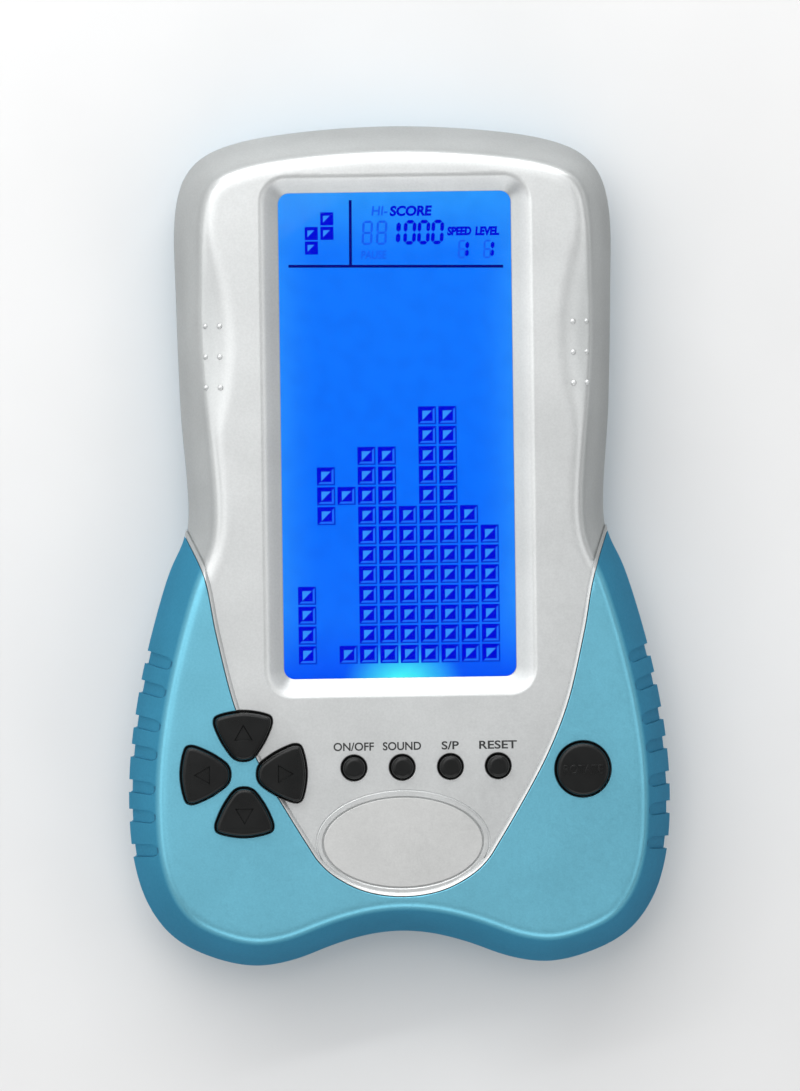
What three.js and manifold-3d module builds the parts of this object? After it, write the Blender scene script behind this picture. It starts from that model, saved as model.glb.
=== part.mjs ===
// A handheld LCD game in two-colour casing, lying on its back, in millimetres.
// X runs right, Y toward the top edge and Z up out of the face; the origin is under the middle.

import * as THREE from "three";
import { mergeVertices } from "three/addons/utils/BufferGeometryUtils.js";
import Module from "manifold-3d";

const wasm = await Module();
wasm.setup();

// ---------------------------------------------------------------- driving dimensions

const GAP = 0.3; // play left between neighbouring pieces
const TOLERANCE = 0.05; // how far a flat may stray from the curve it stands for
const FACE_Z = 27.6; // top of the silver face
const CEILING_Z = 24.8; // inside of the front casing
const BOARD_Z = [14.65, 16.25];
const THROUGH = [10, 32]; // heights that clear both sides of the front half
const FACE_CUT = [20, 32]; // heights of the openings in the face

// Right half of the casing outline, from the middle of the top edge to the middle of the bottom edge.
const OUTLINE_HALF = [
  [0, 88], [18, 87.1], [32, 85], [39.6, 82.1], [43.6, 77.8], [45.6, 70], [45.6, 52], [45, 30],
  [43.9, 3], [47.1, -4], [50.3, -14], [52.9, -24], [54.9, -34], [56.2, -44], [56.6, -54],
  [55.8, -65], [53, -74.4], [47.6, -81.6], [39, -86], [30.5, -87.71], [22.3, -86.4],
  [14.6, -83.5], [7, -81.4], [0, -80.7],
];

// Right half of the seam between silver face and blue boot, from the bottom to beyond the side.
const SEAM_HALF = [
  [0, -72.9], [8, -71.75], [14.4, -68.5], [17.7, -65.4], [20, -61.9], [25.9, -52], [30.7, -43],
  [34.8, -32.8], [38.5, -17.6], [40.8, -5.8], [44.4, 2.6], [46.5, 7],
];

// Wall profiles as [height, distance in from the outline].
const FRONT_PROFILE = [[14.15, 0], [24.6, 4.4], [26.4, 5.4], [27.3, 6.6], [FACE_Z, 7.8]];
const BOOT_PROFILE = [[14.15, -0.4], [25.2, 4.2], [27, 5.2], [28, 6.5], [28.4, 7.8]];
const BOOT_LINING = [[13, 1], [14.15, 1.1], [24.5, 5.6], [25.8, 6.4], [26.6, 7.6], [26.8, 8.9]];
const TRAY_PROFILE = [[14.15, 1.4], [24.4, 5.9], [25.6, 6.7], [26.3, 7.9], [26.5, 9.2]];
const FRONT_CAVITY = [[13, 3.1], [14.15, 3.2], [21.5, 6.2], [CEILING_Z, 9.5]];
const REAR_PROFILE = [[0, 4], [1.2, 2.4], [3.6, 1.4], [9, 0.5], [13.85, 0]];
const REAR_CAVITY = [[2, 4.6], [9, 2.7], [14.5, 2.3]];

const RIM = { width: 0.5, top: 28.4 }; // silver edge that rises to the boot
const SCOOP = { x: 94.5, y: 42, radius: 60, slope: 0.4 }; // conical finger scoop in each side
const DOTS = { x: [36.9, 39.8], y: [46.8, 40.4, 34], radius: 0.6, height: 0.4 };
const RIBS = { count: 7, top: -22.4, pitch: 6.77, width: 2.7, depth: 0.7, reach: 4.9 };

const SCREEN_Y = 23.5;
const WINDOW = { width: 48.7, height: 101.6, corner: 2.3, z: 25 };
const RECESS = { width: 56, height: 108.2, corner: 5 };
const LENS = { width: 53.5, height: 106.5, corner: 3, z: [22.3, 23.7] };
const SCREEN_BAY = { x: 29.7, y: [-33.5, 79.6] }; // pocket behind the face that takes the holder
const PANEL = { x: 27, y: [-31.4, 77.5], z: [19.9, 22] };
const GUIDE = { x: 26, y: [-28.9, 76.2], z: [17.1, 19.6] };

const DPAD = { x: -33.2, y: -46.8, centre: 8 }; // centre: from the middle of the cross to a key's middle
// Right half of one key opening of the cross, pointing up, from its inner tip to its outer edge.
const PETAL_HALF = [
  [0, 2.3], [2.3, 2.8], [5.3, 6.8], [6.6, 10.6], [6, 12], [3.4, 13.1], [0, 13.5],
];
const ROTATE = { x: 37.8, y: -46.8, radius: 6.1 };
const SMALL_KEYS = {
  y: -45.9,
  radius: 2.75,
  x: { on_off: -10.1, sound: 0, start_pause: 10.1, reset: 20.1 },
};
const KEY_FLANGE_Z = [23.5, 24.5];
const KEY_STEM_Z = 20.4;
const MEMBRANE_Z = { base: 16.6, sheet: 17.6, dome: 20.1 };

const BADGE = { y: -61.6, outer: [18.1, 10.85], inner: [16.9, 9.65], ring: 27.8 };

const CASE_SCREWS = [[-36.5, 74], [36.5, 74], [-36.5, 8], [36.5, 8], [-42, -73], [42, -73]];
const CASE_SCREW = { shank: 1.2, head: 2.5, bore: 1.5, well: 2.9, frontBoss: 3, rearBoss: 3.6, tip: 21 };
const BOARD_SCREWS = [[-34.5, 40], [34.5, 40], [-44, -33], [44, -33]];
const BOARD_SCREW = { shank: 1, head: 2, bore: 1.3, boss: 2.4, tip: 21 };

const CELL = { radius: 5.25, length: 44.5, z: 7.5, y: [-65, -53.8, -42.6] };
const BAY = { x: 25.8, y: [-71.1, -36.5], z: 12.9, wall: 1.5 };
const DOOR = { x: 27.7, y: [-73, -34.6], z: [0.2, 1.8] };
const DOOR_HOOKS = [-14, 14];
const DOOR_GROOVES = { x: 9, width: 1, pitch: 2.4 };
const BUZZER = { y: 50, disc: 13.5, ceramic: 10, seatWall: 1.7 };
const SOUND_HOLES = { radius: 0.9, circle: 5.5 };
const WIRE_HEIGHT = 10.6; // solder tabs and the slots they pass through

const FINISHES = {
  silver: { color: 0xd5d7d8, roughness: 0.38, metalness: 0.45 },
  blue: { color: 0x5fb3cf, roughness: 0.42, metalness: 0.3 },
  blueRear: { color: 0x4b9cba, roughness: 0.55, metalness: 0 },
  badge: { color: 0xd9dadb, roughness: 0.3, metalness: 0.4 },
  rubber: { color: 0x262829, roughness: 0.5, metalness: 0 },
  membrane: { color: 0x8f9496, roughness: 0.75, metalness: 0 },
  clear: { color: 0xe6f0f6, roughness: 0.06, metalness: 0 },
  screen: { color: 0x1a73ff, roughness: 0.25, metalness: 0 },
  guide: { color: 0xdde9f4, roughness: 0.2, metalness: 0 },
  led: { color: 0xf3f0d2, roughness: 0.3, metalness: 0 },
  white: { color: 0xeceff0, roughness: 0.5, metalness: 0 },
  black: { color: 0x1b1c1e, roughness: 0.55, metalness: 0 },
  elastomer: { color: 0x3a3c40, roughness: 0.7, metalness: 0 },
  board: { color: 0x1f6b3a, roughness: 0.5, metalness: 0 },
  epoxy: { color: 0x101112, roughness: 0.35, metalness: 0 },
  resistor: { color: 0xc9a56a, roughness: 0.5, metalness: 0 },
  capacitor: { color: 0x22305e, roughness: 0.35, metalness: 0 },
  steel: { color: 0xa9adb1, roughness: 0.3, metalness: 0.9 },
  brass: { color: 0xc8a24a, roughness: 0.32, metalness: 0.9 },
  ceramic: { color: 0xe8e4d8, roughness: 0.5, metalness: 0 },
  cell: { color: 0x2f7d53, roughness: 0.3, metalness: 0.2 },
  redWire: { color: 0xb3261e, roughness: 0.5, metalness: 0 },
  blackWire: { color: 0x17181a, roughness: 0.5, metalness: 0 },
};

// ---------------------------------------------------------------- solids

/** A closed three.js geometry as a solid that can be joined and cut. */
function solid(geometry) {
  const bare = new THREE.BufferGeometry();
  bare.setAttribute("position", geometry.getAttribute("position"));
  bare.setIndex(geometry.index);
  const merged = mergeVertices(bare, 1e-4);
  const corners = merged.index.array;
  const faces = [];
  for (let i = 0; i < corners.length; i += 3) {
    const [a, b, c] = corners.slice(i, i + 3);
    if (a !== b && b !== c && c !== a) faces.push(a, b, c);
  }
  return new wasm.Manifold(
    new wasm.Mesh({
      numProp: 3,
      vertProperties: new Float32Array(merged.attributes.position.array),
      triVerts: new Uint32Array(faces),
    }),
  );
}

const join = (...bodies) => wasm.Manifold.union(bodies);
const cut = (body, ...tools) => body.subtract(join(...tools));
const common = (a, b) => a.intersect(b);

const vectors = (loop) => loop.map(([x, y]) => new THREE.Vector2(x, y));

/** Skin over rings with equal counts, given from low to high and anticlockwise seen from above. */
function loft(rings) {
  const count = rings[0].length;
  const faces = [];
  for (let r = 0; r < rings.length - 1; r++) {
    for (let i = 0; i < count; i++) {
      const a = r * count + i;
      const b = r * count + ((i + 1) % count);
      faces.push(a, b, b + count, a, b + count, a + count);
    }
  }
  const lid = (ring) => THREE.ShapeUtils.triangulateShape(vectors(ring), []);
  const last = (rings.length - 1) * count;
  for (const [a, b, c] of lid(rings[0])) faces.push(c, b, a);
  for (const [a, b, c] of lid(rings.at(-1))) faces.push(last + a, last + b, last + c);
  const geometry = new THREE.BufferGeometry();
  geometry.setAttribute("position", new THREE.Float32BufferAttribute(rings.flat(2), 3));
  geometry.setIndex(faces);
  return solid(geometry);
}

const ring = (loop, z) => loop.map(([x, y]) => [x, y, z]);

/** A loop with straight walls from one height to another. */
function prism(loop, z0, z1) {
  const options = { depth: z1 - z0, bevelEnabled: false };
  const geometry = new THREE.ExtrudeGeometry(new THREE.Shape(vectors(loop)), options);
  return solid(geometry.translate(0, 0, z0));
}

/** The loop moved in by a distance (out if it is negative), keeping its corners mitred. */
function inset(loop, distance) {
  return loop.map(([x, y], i) => {
    const before = loop.at(i - 1);
    const after = loop[(i + 1) % loop.length];
    const one = new THREE.Vector2(before[1] - y, x - before[0]).normalize();
    const two = new THREE.Vector2(y - after[1], after[0] - x).normalize();
    const scale = distance / (1 + one.dot(two));
    return [x + (one.x + two.x) * scale, y + (one.y + two.y) * scale];
  });
}

const wall = (loop, profile) => loft(profile.map(([z, d]) => ring(inset(loop, d), z)));

/** A smooth curve through the control points, in evenly spaced points. */
function spline(controls, closed, count) {
  const points = controls.map(([x, y]) => new THREE.Vector3(x, y, 0));
  const curve = new THREE.CatmullRomCurve3(points, closed, "centripetal");
  curve.arcLengthDivisions = 3000;
  const spaced = curve.getSpacedPoints(count).map((p) => [p.x, p.y]);
  return closed ? spaced.slice(0, -1) : spaced;
}

const mirrorX = (points) => points.map(([x, y]) => [-x, y]);

/** A whole loop, anticlockwise, from its right half, which runs from axis to axis. */
function wholeLoop(half) {
  const upward = half[0][1] < half.at(-1)[1] ? half : half.toReversed();
  return [...upward, ...mirrorX(upward.slice(1, -1)).reverse()];
}

function arc(x, y, radius, from, to, steps) {
  return Array.from({ length: steps + 1 }, (_, i) => {
    const angle = from + ((to - from) * i) / steps;
    return [x + radius * Math.cos(angle), y + radius * Math.sin(angle)];
  });
}

/** Sides that keep a circle's flats within the tolerance of its true curve. */
const sidesFor = (radius) => Math.max(8, Math.ceil(Math.PI / Math.acos(1 - TOLERANCE / radius)));
const circle = (x, y, radius, sides = sidesFor(radius)) =>
  arc(x, y, radius, 0, 2 * Math.PI, sides).slice(1);
const ellipse = (x, y, [a, b]) =>
  circle(0, 0, 1, sidesFor(a)).map(([u, v]) => [x + a * u, y + b * v]);

function roundedRect(x0, x1, y0, y1, radius, steps = 4) {
  const quarter = Math.PI / 2;
  const corners = [[x1, y1, -1, -1], [x0, y1, 1, -1], [x0, y0, 1, 1], [x1, y0, -1, 1]];
  return corners.flatMap(([x, y, sx, sy], i) =>
    arc(x + sx * radius, y + sy * radius, radius, i * quarter, (i + 1) * quarter, steps),
  );
}

const screenRect = ({ width, height, corner }) =>
  roundedRect(-width / 2, width / 2, SCREEN_Y - height / 2, SCREEN_Y + height / 2, corner);

const box = (x0, x1, y0, y1, z0, z1) => prism([[x0, y0], [x1, y0], [x1, y1], [x0, y1]], z0, z1);

/** A solid of revolution about a vertical axis, from its [radius, height] stations. */
function turning(x, y, stations) {
  const sides = sidesFor(Math.max(...stations.map(([radius]) => radius)));
  const profile = [[0, stations[0][1]], ...stations, [0, stations.at(-1)[1]]];
  const geometry = new THREE.LatheGeometry(vectors(profile), sides);
  return solid(geometry.rotateX(Math.PI / 2).translate(x, y, 0));
}

/** A cylinder along Z. */
function cylinder(x, y, radius, z0, z1) {
  const geometry = new THREE.CylinderGeometry(radius, radius, z1 - z0, sidesFor(radius));
  return solid(geometry.rotateX(Math.PI / 2).translate(x, y, (z0 + z1) / 2));
}

/** A cylinder along X. */
function bar(x0, x1, y, z, radius) {
  const geometry = new THREE.CylinderGeometry(radius, radius, x1 - x0, sidesFor(radius));
  return solid(geometry.rotateZ(Math.PI / 2).translate((x0 + x1) / 2, y, z));
}

/** A round wire along a smooth curve through the points. */
function wire(points, radius, steps) {
  const extrudePath = new THREE.CatmullRomCurve3(points.map((p) => new THREE.Vector3(...p)));
  const section = new THREE.Shape(vectors(circle(0, 0, radius, 6)));
  return solid(new THREE.ExtrudeGeometry(section, { steps, bevelEnabled: false, extrudePath }));
}

function turned(loop, quarterTurns, x, y) {
  const angle = (quarterTurns * Math.PI) / 2;
  const c = Math.cos(angle);
  const s = Math.sin(angle);
  return loop.map(([u, v]) => [x + u * c - v * s, y + u * s + v * c]);
}

const game = new THREE.Group();
game.name = "handheld_lcd_game";

function add(name, body, finish) {
  const { vertProperties, triVerts } = body.getMesh();
  const indexed = new THREE.BufferGeometry();
  indexed.setAttribute("position", new THREE.BufferAttribute(vertProperties, 3));
  indexed.setIndex(new THREE.BufferAttribute(triVerts, 1));
  const geometry = indexed.toNonIndexed();
  geometry.computeVertexNormals();
  const mesh = new THREE.Mesh(geometry, new THREE.MeshStandardMaterial(FINISHES[finish]));
  mesh.name = name;
  game.add(mesh);
}

// ---------------------------------------------------------------- outlines shared by the casing pieces

const outline = spline(wholeLoop(OUTLINE_HALF), true, 92);
const seamLine = spline([...mirrorX(SEAM_HALF.slice(1)).reverse(), ...SEAM_HALF], false, 40);
const silverRegion = [...seamLine, [60, 34.8], [60, 100], [-60, 100], [-60, 34.8]];
const petal = spline(wholeLoop(PETAL_HALF), true, 26);
const petals = ["up", "left", "down", "right"].map((side, quarter) => ({
  side,
  opening: turned(petal, quarter, DPAD.x, DPAD.y),
  centre: turned([[0, DPAD.centre]], quarter, DPAD.x, DPAD.y)[0],
  quarter,
}));

/** Where the right side of the outline crosses a height, and its direction inward there. */
function sideAt(y) {
  const i = outline.findIndex(([x, v], k) => x > 40 && v <= y && outline[k + 1][1] > y);
  const [a, b] = [outline[i], outline[i + 1]];
  const share = (y - a[1]) / (b[1] - a[1]);
  const inward = new THREE.Vector2(a[1] - b[1], b[0] - a[0]).normalize();
  return { x: a[0] + (b[0] - a[0]) * share, inward };
}

const scoopFloor = (x, y) =>
  FACE_Z - SCOOP.slope * (SCOOP.radius - Math.hypot(SCOOP.x - Math.abs(x), SCOOP.y - y));

/** Grip pockets down one side, from the rear half up over the shoulder. */
function gripPockets(side) {
  const bars = [];
  for (let i = 0; i < RIBS.count; i++) {
    const y = RIBS.top - RIBS.pitch * i;
    const { x, inward } = sideAt(y);
    const half = RIBS.width / 2;
    const end = arc(RIBS.reach - half, 0, half, -Math.PI / 2, Math.PI / 2, 4);
    const slot = [...end, [-3, half], [-3, -half]].map(([u, v]) => [
      side * (x + u * inward.x - v * inward.y),
      y + u * inward.y + v * inward.x,
    ]);
    bars.push(prism(slot, 4, 29));
  }
  return join(...bars);
}

const shrunk = (profile, drop) => profile.map(([z, d]) => [z - drop, d + RIBS.depth]);
const gripCore = join(
  wall(outline, [[13, 0.2], ...shrunk(BOOT_PROFILE, 0.1)]),
  wall(outline, [[-1, 4.8], ...shrunk(REAR_PROFILE, 0), [14.5, RIBS.depth]]),
);
const grips = cut(join(gripPockets(1), gripPockets(-1)), gripCore);

const keyOpenings = join(
  ...petals.map(({ opening }) => prism(opening, ...FACE_CUT)),
  cylinder(ROTATE.x, ROTATE.y, ROTATE.radius, ...FACE_CUT),
  ...Object.values(SMALL_KEYS.x).map((x) =>
    cylinder(x, SMALL_KEYS.y, SMALL_KEYS.radius, ...FACE_CUT),
  ),
);

// ---------------------------------------------------------------- casing

function frontCasing() {
  const scoop = (side) => {
    const radiusAt = (z) => SCOOP.radius - (FACE_Z - z) / SCOOP.slope;
    return turning(side * SCOOP.x, SCOOP.y, [[radiusAt(20), 20], [radiusAt(30), 30]]);
  };
  const region = prism(inset(silverRegion, GAP / 2), ...THROUGH);
  const rimInside = inset(silverRegion, GAP / 2 + RIM.width);
  const rimTop = inset(silverRegion, GAP / 2 + 0.1);
  const rim = cut(
    common(wall(outline, BOOT_PROFILE), region),
    loft([ring(rimInside, THROUGH[0]), ring(rimInside, FACE_Z), ring(rimTop, RIM.top + 0.1)]),
  );
  const dots = DOTS.x.flatMap((x) =>
    DOTS.y.flatMap((y) =>
      [-x, x].map((u) => {
        const dome = new THREE.SphereGeometry(DOTS.radius, 8, 6).rotateX(Math.PI / 2);
        return solid(dome.scale(1, 1, DOTS.height / DOTS.radius).translate(u, y, scoopFloor(u, y)));
      }),
    ),
  );
  const badgeRing = cut(
    prism(ellipse(0, BADGE.y, BADGE.outer), FACE_Z - 0.5, BADGE.ring),
    prism(ellipse(0, BADGE.y, BADGE.inner), FACE_Z - 0.6, BADGE.ring + 1),
  );
  const outside = join(
    cut(
      join(common(wall(outline, FRONT_PROFILE), region), wall(outline, TRAY_PROFILE)),
      scoop(1),
      scoop(-1),
    ),
    rim,
    ...dots,
    badgeRing,
  );
  const window = screenRect(WINDOW);
  const recess = screenRect(RECESS);
  const slope = (RECESS.width - WINDOW.width) / 2 / (FACE_Z - WINDOW.z);
  const screenOpening = loft([
    ring(window, 20),
    ring(window, WINDOW.z),
    ring(recess, FACE_Z),
    ring(inset(recess, -slope), FACE_Z + 1),
  ]);
  const shell = cut(
    outside,
    wall(outline, FRONT_CAVITY),
    cylinder(DPAD.x, DPAD.y, 14.8, 18, CEILING_Z),
    prism(ellipse(0, BADGE.y, BADGE.inner), FACE_Z - 0.6, 30),
  );
  const screenBay = (z0, z1) => box(-SCREEN_BAY.x, SCREEN_BAY.x, ...SCREEN_BAY.y, z0, z1);
  const lensTop = LENS.z[1] + GAP;
  const rootZ = CEILING_Z + 0.3; // bosses run a little into the face
  const caseBosses = CASE_SCREWS.map(([x, y]) => cylinder(x, y, CASE_SCREW.frontBoss, 10, rootZ));
  const boardBosses = BOARD_SCREWS.map(([x, y]) =>
    cylinder(x, y, BOARD_SCREW.boss, BOARD_Z[1] + GAP, rootZ),
  );
  return cut(
    join(shell, screenBay(lensTop, rootZ), ...caseBosses, ...boardBosses),
    screenBay(13, lensTop),
    screenOpening,
    keyOpenings,
    ...CASE_SCREWS.map(([x, y]) => cylinder(x, y, CASE_SCREW.bore, 9, CASE_SCREW.tip + 1)),
    ...BOARD_SCREWS.map(([x, y]) => cylinder(x, y, BOARD_SCREW.bore, 16, BOARD_SCREW.tip + 1)),
  );
}

function gripBoot() {
  return cut(
    wall(outline, BOOT_PROFILE),
    wall(outline, BOOT_LINING),
    prism(inset(silverRegion, -GAP / 2), ...THROUGH),
    keyOpenings,
    grips,
  );
}

function rearCasing() {
  const shell = cut(wall(outline, REAR_PROFILE), wall(outline, REAR_CAVITY), grips);
  const [y0, y1] = BAY.y;
  const bay = box(-BAY.x - BAY.wall, BAY.x + BAY.wall, y0 - BAY.wall, y1 + BAY.wall, 1.9, BAY.z + 1.3);
  const ledge = box(-29.5, 29.5, -74.8, -32.8, 1, 3.6);
  const latchTower = box(-7.5, 7.5, y1, -31.4, 1, 10);
  const seatRadius = BUZZER.disc + BUZZER.seatWall;
  const buzzerSeat = join(
    cylinder(0, BUZZER.y, seatRadius, 1.5, 3.2),
    cut(
      cylinder(0, BUZZER.y, seatRadius, 3, 4.4),
      cylinder(0, BUZZER.y, BUZZER.disc + 0.5, 2.9, 5),
    ),
  );
  const bosses = CASE_SCREWS.map(([x, y]) => cylinder(x, y, CASE_SCREW.rearBoss, 1, 9.7));
  const soundHoles = [[0, 0], ...circle(0, 0, SOUND_HOLES.circle, 6)].map(([x, y]) =>
    cylinder(x, BUZZER.y + y, SOUND_HOLES.radius, -1, 4),
  );
  const [tabZ0, tabZ1] = [WIRE_HEIGHT - 0.8, WIRE_HEIGHT + 0.8];
  const hooks = DOOR_HOOKS.map((x) => box(x - 4.3, x + 4.3, -77.4, y0 + 1, 2.1, 8));
  const body = cut(
    join(shell, bay, ledge, latchTower, buzzerSeat, ...bosses),
    box(-BAY.x, BAY.x, y0, y1, 1, BAY.z),
    box(-DOOR.x - GAP, DOOR.x + GAP, DOOR.y[0] - GAP, DOOR.y[1] + GAP, -1, 2.1),
    box(-6, 6, y1 - 1, -32.9, -1, 8.5),
    cylinder(0, BUZZER.y, BUZZER.disc - 2, 1.9, 4),
    box(BAY.x - 1, BAY.x + 3, CELL.y[0] - 2, CELL.y[0] + 2, tabZ0, tabZ1),
    box(-BAY.x - 3, -BAY.x + 1, CELL.y[2] - 2, CELL.y[2] + 2, tabZ0, tabZ1),
    ...hooks,
    ...soundHoles,
    ...CASE_SCREWS.map(([x, y]) => cylinder(x, y, CASE_SCREW.well, -1, 3.1)),
    ...CASE_SCREWS.map(([x, y]) => cylinder(x, y, CASE_SCREW.bore, 2, 10)),
  );
  const cradles = [0, 1].map((i) => {
    const y = (CELL.y[i] + CELL.y[i + 1]) / 2;
    return box(-18, 18, y - 0.7, y + 0.7, 11.2, BAY.z + 0.2);
  });
  return join(body, ...cradles);
}

function batteryDoor() {
  const [y0, y1] = DOOR.y;
  const thumbGrooves = [0, 1, 2].map((i) => {
    const y = -42 - DOOR_GROOVES.pitch * i;
    return box(-DOOR_GROOVES.x, DOOR_GROOVES.x, y, y + DOOR_GROOVES.width, -1, 0.7);
  });
  const hooks = DOOR_HOOKS.map((x) =>
    join(
      box(x - 4, x + 4, -72.8, -70.4, DOOR.z[1] - 0.1, 3.5),
      box(x - 4, x + 4, -76, -70.4, 2.4, 3.5),
    ),
  );
  const latch = join(
    box(-5, 5, -36, -35.2, DOOR.z[1] - 0.2, 6.5),
    box(-5, 5, -36, -33.9, 5.7, 6.5),
    box(-5, 5, -34.7, -33.9, 0.6, 6.5),
  );
  const corner = box(-5.4, 5.4, -34.9, -33, -1, 3);
  const plate = prism(roundedRect(-DOOR.x, DOOR.x, y0, y1, 1.2), ...DOOR.z);
  return join(cut(plate, corner, ...thumbGrooves), ...hooks, latch);
}

add("front_casing", frontCasing(), "silver");
add("grip_boot", gripBoot(), "blue");
add("rear_casing", rearCasing(), "blueRear");
add("battery_door", batteryDoor(), "blueRear");
add(
  "oval_badge",
  prism(ellipse(0, BADGE.y, [BADGE.inner[0] - GAP, BADGE.inner[1] - GAP]), FACE_Z - 0.3, FACE_Z),
  "badge",
);

// ---------------------------------------------------------------- screen

const ledNotch = box(-2.6, 2.6, GUIDE.y[0] - 1, GUIDE.y[0] + 2.7, 15, 20);

add("screen_lens", prism(screenRect(LENS), ...LENS.z), "clear");
add("lcd_panel", box(-PANEL.x, PANEL.x, ...PANEL.y, ...PANEL.z), "screen");
add("light_guide", cut(box(-GUIDE.x, GUIDE.x, ...GUIDE.y, ...GUIDE.z), ledNotch), "guide");
add("reflector_sheet", cut(box(-GUIDE.x, GUIDE.x, ...GUIDE.y, 16.55, 16.8), ledNotch), "white");
add("backlight_led", box(-1.9, 1.9, GUIDE.y[0] + 0.5, GUIDE.y[0] + 2.3, 16.6, 19.2), "led");
add("elastomer_connector", box(-24, 24, -31.2, -29.4, 16.55, 19.6), "elastomer");
add(
  "lcd_holder_frame",
  cut(
    prism(roundedRect(-29.3, 29.3, -33.1, 79.2, 3), 16.6, LENS.z[1]),
    box(-27.3, 27.3, PANEL.y[0] - GAP, PANEL.y[1] + GAP, 15, 25),
  ),
  "black",
);

// ---------------------------------------------------------------- keys and their rubber membranes

/** A key: its cap follows the opening, its flange keeps it in the casing, its stem meets the membrane. */
function key(opening, centre, top, crown, stem) {
  const cap = inset(opening, 0.45);
  return join(
    loft([
      ring(cap, KEY_FLANGE_Z[1] - 0.1),
      ring(cap, top - 0.8 * crown),
      ring(inset(cap, 0.35 * crown), top - 0.25 * crown),
      ring(inset(cap, crown), top),
    ]),
    prism(inset(opening, -0.25), ...KEY_FLANGE_Z),
    cylinder(...centre, stem, KEY_STEM_Z, KEY_FLANGE_Z[0] + 0.1),
  );
}

for (const { side, opening, centre, quarter } of petals) {
  const arrow = turned([[-1.7, 7.2], [1.7, 7.2], [0, 10.2]], quarter, DPAD.x, DPAD.y);
  const cap = key(opening, centre, 30, 0.9, 2);
  add(`key_${side}`, cut(cap, prism(arrow, 29.75, 31)), "rubber");
}
const rotateOpening = circle(ROTATE.x, ROTATE.y, ROTATE.radius);
add("key_rotate", key(rotateOpening, [ROTATE.x, ROTATE.y], 29.8, 0.9, 3), "rubber");
for (const [name, x] of Object.entries(SMALL_KEYS.x)) {
  const opening = circle(x, SMALL_KEYS.y, SMALL_KEYS.radius);
  add(`key_${name}`, key(opening, [x, SMALL_KEYS.y], 29.2, 0.8, 1.4), "rubber");
}

/** A rubber sheet with a hollow dome under each key. */
function membrane(sheet, centres, radius) {
  const { base, sheet: sheetTop, dome } = MEMBRANE_Z;
  const domes = centres.map(([x, y]) =>
    turning(x, y, [[radius, sheetTop - 0.1], [0.65 * radius, dome]]),
  );
  const hollows = centres.map(([x, y]) =>
    turning(x, y, [[0.8 * radius, base - 0.1], [0.5 * radius, dome - 1]]),
  );
  return cut(join(sheet, ...domes), ...hollows);
}

const { base: sheetBase, sheet: sheetTop } = MEMBRANE_Z;
add(
  "dpad_membrane",
  membrane(
    common(
      cylinder(DPAD.x, DPAD.y, 12.8, sheetBase, sheetTop),
      box(-60, 0, -80, -34.4, 10, 30),
    ),
    petals.map(({ centre }) => centre),
    3.4,
  ),
  "membrane",
);
add(
  "rotate_membrane",
  membrane(cylinder(ROTATE.x, ROTATE.y, 8.2, sheetBase, sheetTop), [[ROTATE.x, ROTATE.y]], 5),
  "membrane",
);
add(
  "function_membrane",
  membrane(
    prism(roundedRect(-14.5, 24.5, -50, -42.2, 2), sheetBase, sheetTop),
    Object.values(SMALL_KEYS.x).map((x) => [x, SMALL_KEYS.y]),
    2.9,
  ),
  "membrane",
);

// ---------------------------------------------------------------- circuit board

add(
  "main_board",
  cut(
    join(
      prism(roundedRect(-49.5, 49.5, -64, -28, 3), ...BOARD_Z),
      prism(roundedRect(-37.5, 37.5, -31, 77, 2), ...BOARD_Z),
    ),
    ...CASE_SCREWS.map(([x, y]) => cylinder(x, y, CASE_SCREW.rearBoss + 0.6, 14, 17)),
    ...BOARD_SCREWS.map(([x, y]) => cylinder(x, y, BOARD_SCREW.shank + 0.4, 14, 17)),
  ),
  "board",
);
const [underBoard] = BOARD_Z;
add(
  "chip_blob",
  turning(0, 18, [[5, underBoard - 2.4], [7.6, underBoard - 1.7], [9, underBoard - GAP]]),
  "epoxy",
);
add("capacitor", bar(16, 23, 4, underBoard - 2.9, 2.5), "capacitor");
[[-14, 2], [-14, -6]].forEach(([x, y], i) => {
  const body = bar(x - 3.2, x + 3.2, y, underBoard - 1.5, 1.1);
  const legs = bar(x - 5.2, x + 5.2, y, underBoard - 1.5, 0.3);
  add(`resistor_${i + 1}`, join(body, legs), "resistor");
});
add("piezo_disc", cylinder(0, BUZZER.y, BUZZER.disc, 3.5, 3.8), "brass");
add("piezo_ceramic", cylinder(0, BUZZER.y, BUZZER.ceramic, 4.1, 4.4), "ceramic");

// ---------------------------------------------------------------- batteries and contacts

const CONTACT_X = 25.1; // inner face of the contact plates
const CELL_SHIFT = 2.25; // each cell sits off the middle, away from its spring
const SPRING = { radius: 3.2, wire: 0.35, turns: 4, length: 4.2 };
const springSides = [-1, 1, -1]; // the end of the bay where each cell's spring is

CELL.y.forEach((y, i) => {
  const side = springSides[i];
  const middle = -side * CELL_SHIFT;
  const half = CELL.length / 2;
  const canEnds = [middle - half + (side > 0 ? 1 : 0), middle + half - (side < 0 ? 1 : 0)];
  const can = bar(...canEnds, y, CELL.z, CELL.radius);
  const nubEnds = [middle - side * (half - 1.2), middle - side * half];
  const nub = bar(Math.min(...nubEnds), Math.max(...nubEnds), y, CELL.z, 1.9);
  add(`battery_${i + 1}`, join(can, nub), "cell");

  const steps = SPRING.turns * 10;
  const coil = Array.from({ length: steps + 1 }, (_, k) => {
    const angle = (k * Math.PI) / 5;
    const along = CONTACT_X - GAP - SPRING.wire - (SPRING.length * k) / steps;
    return [side * along, y + SPRING.radius * Math.cos(angle), CELL.z + SPRING.radius * Math.sin(angle)];
  });
  add(`battery_spring_${i + 1}`, wire(coil, SPRING.wire, steps), "steel");
});

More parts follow.
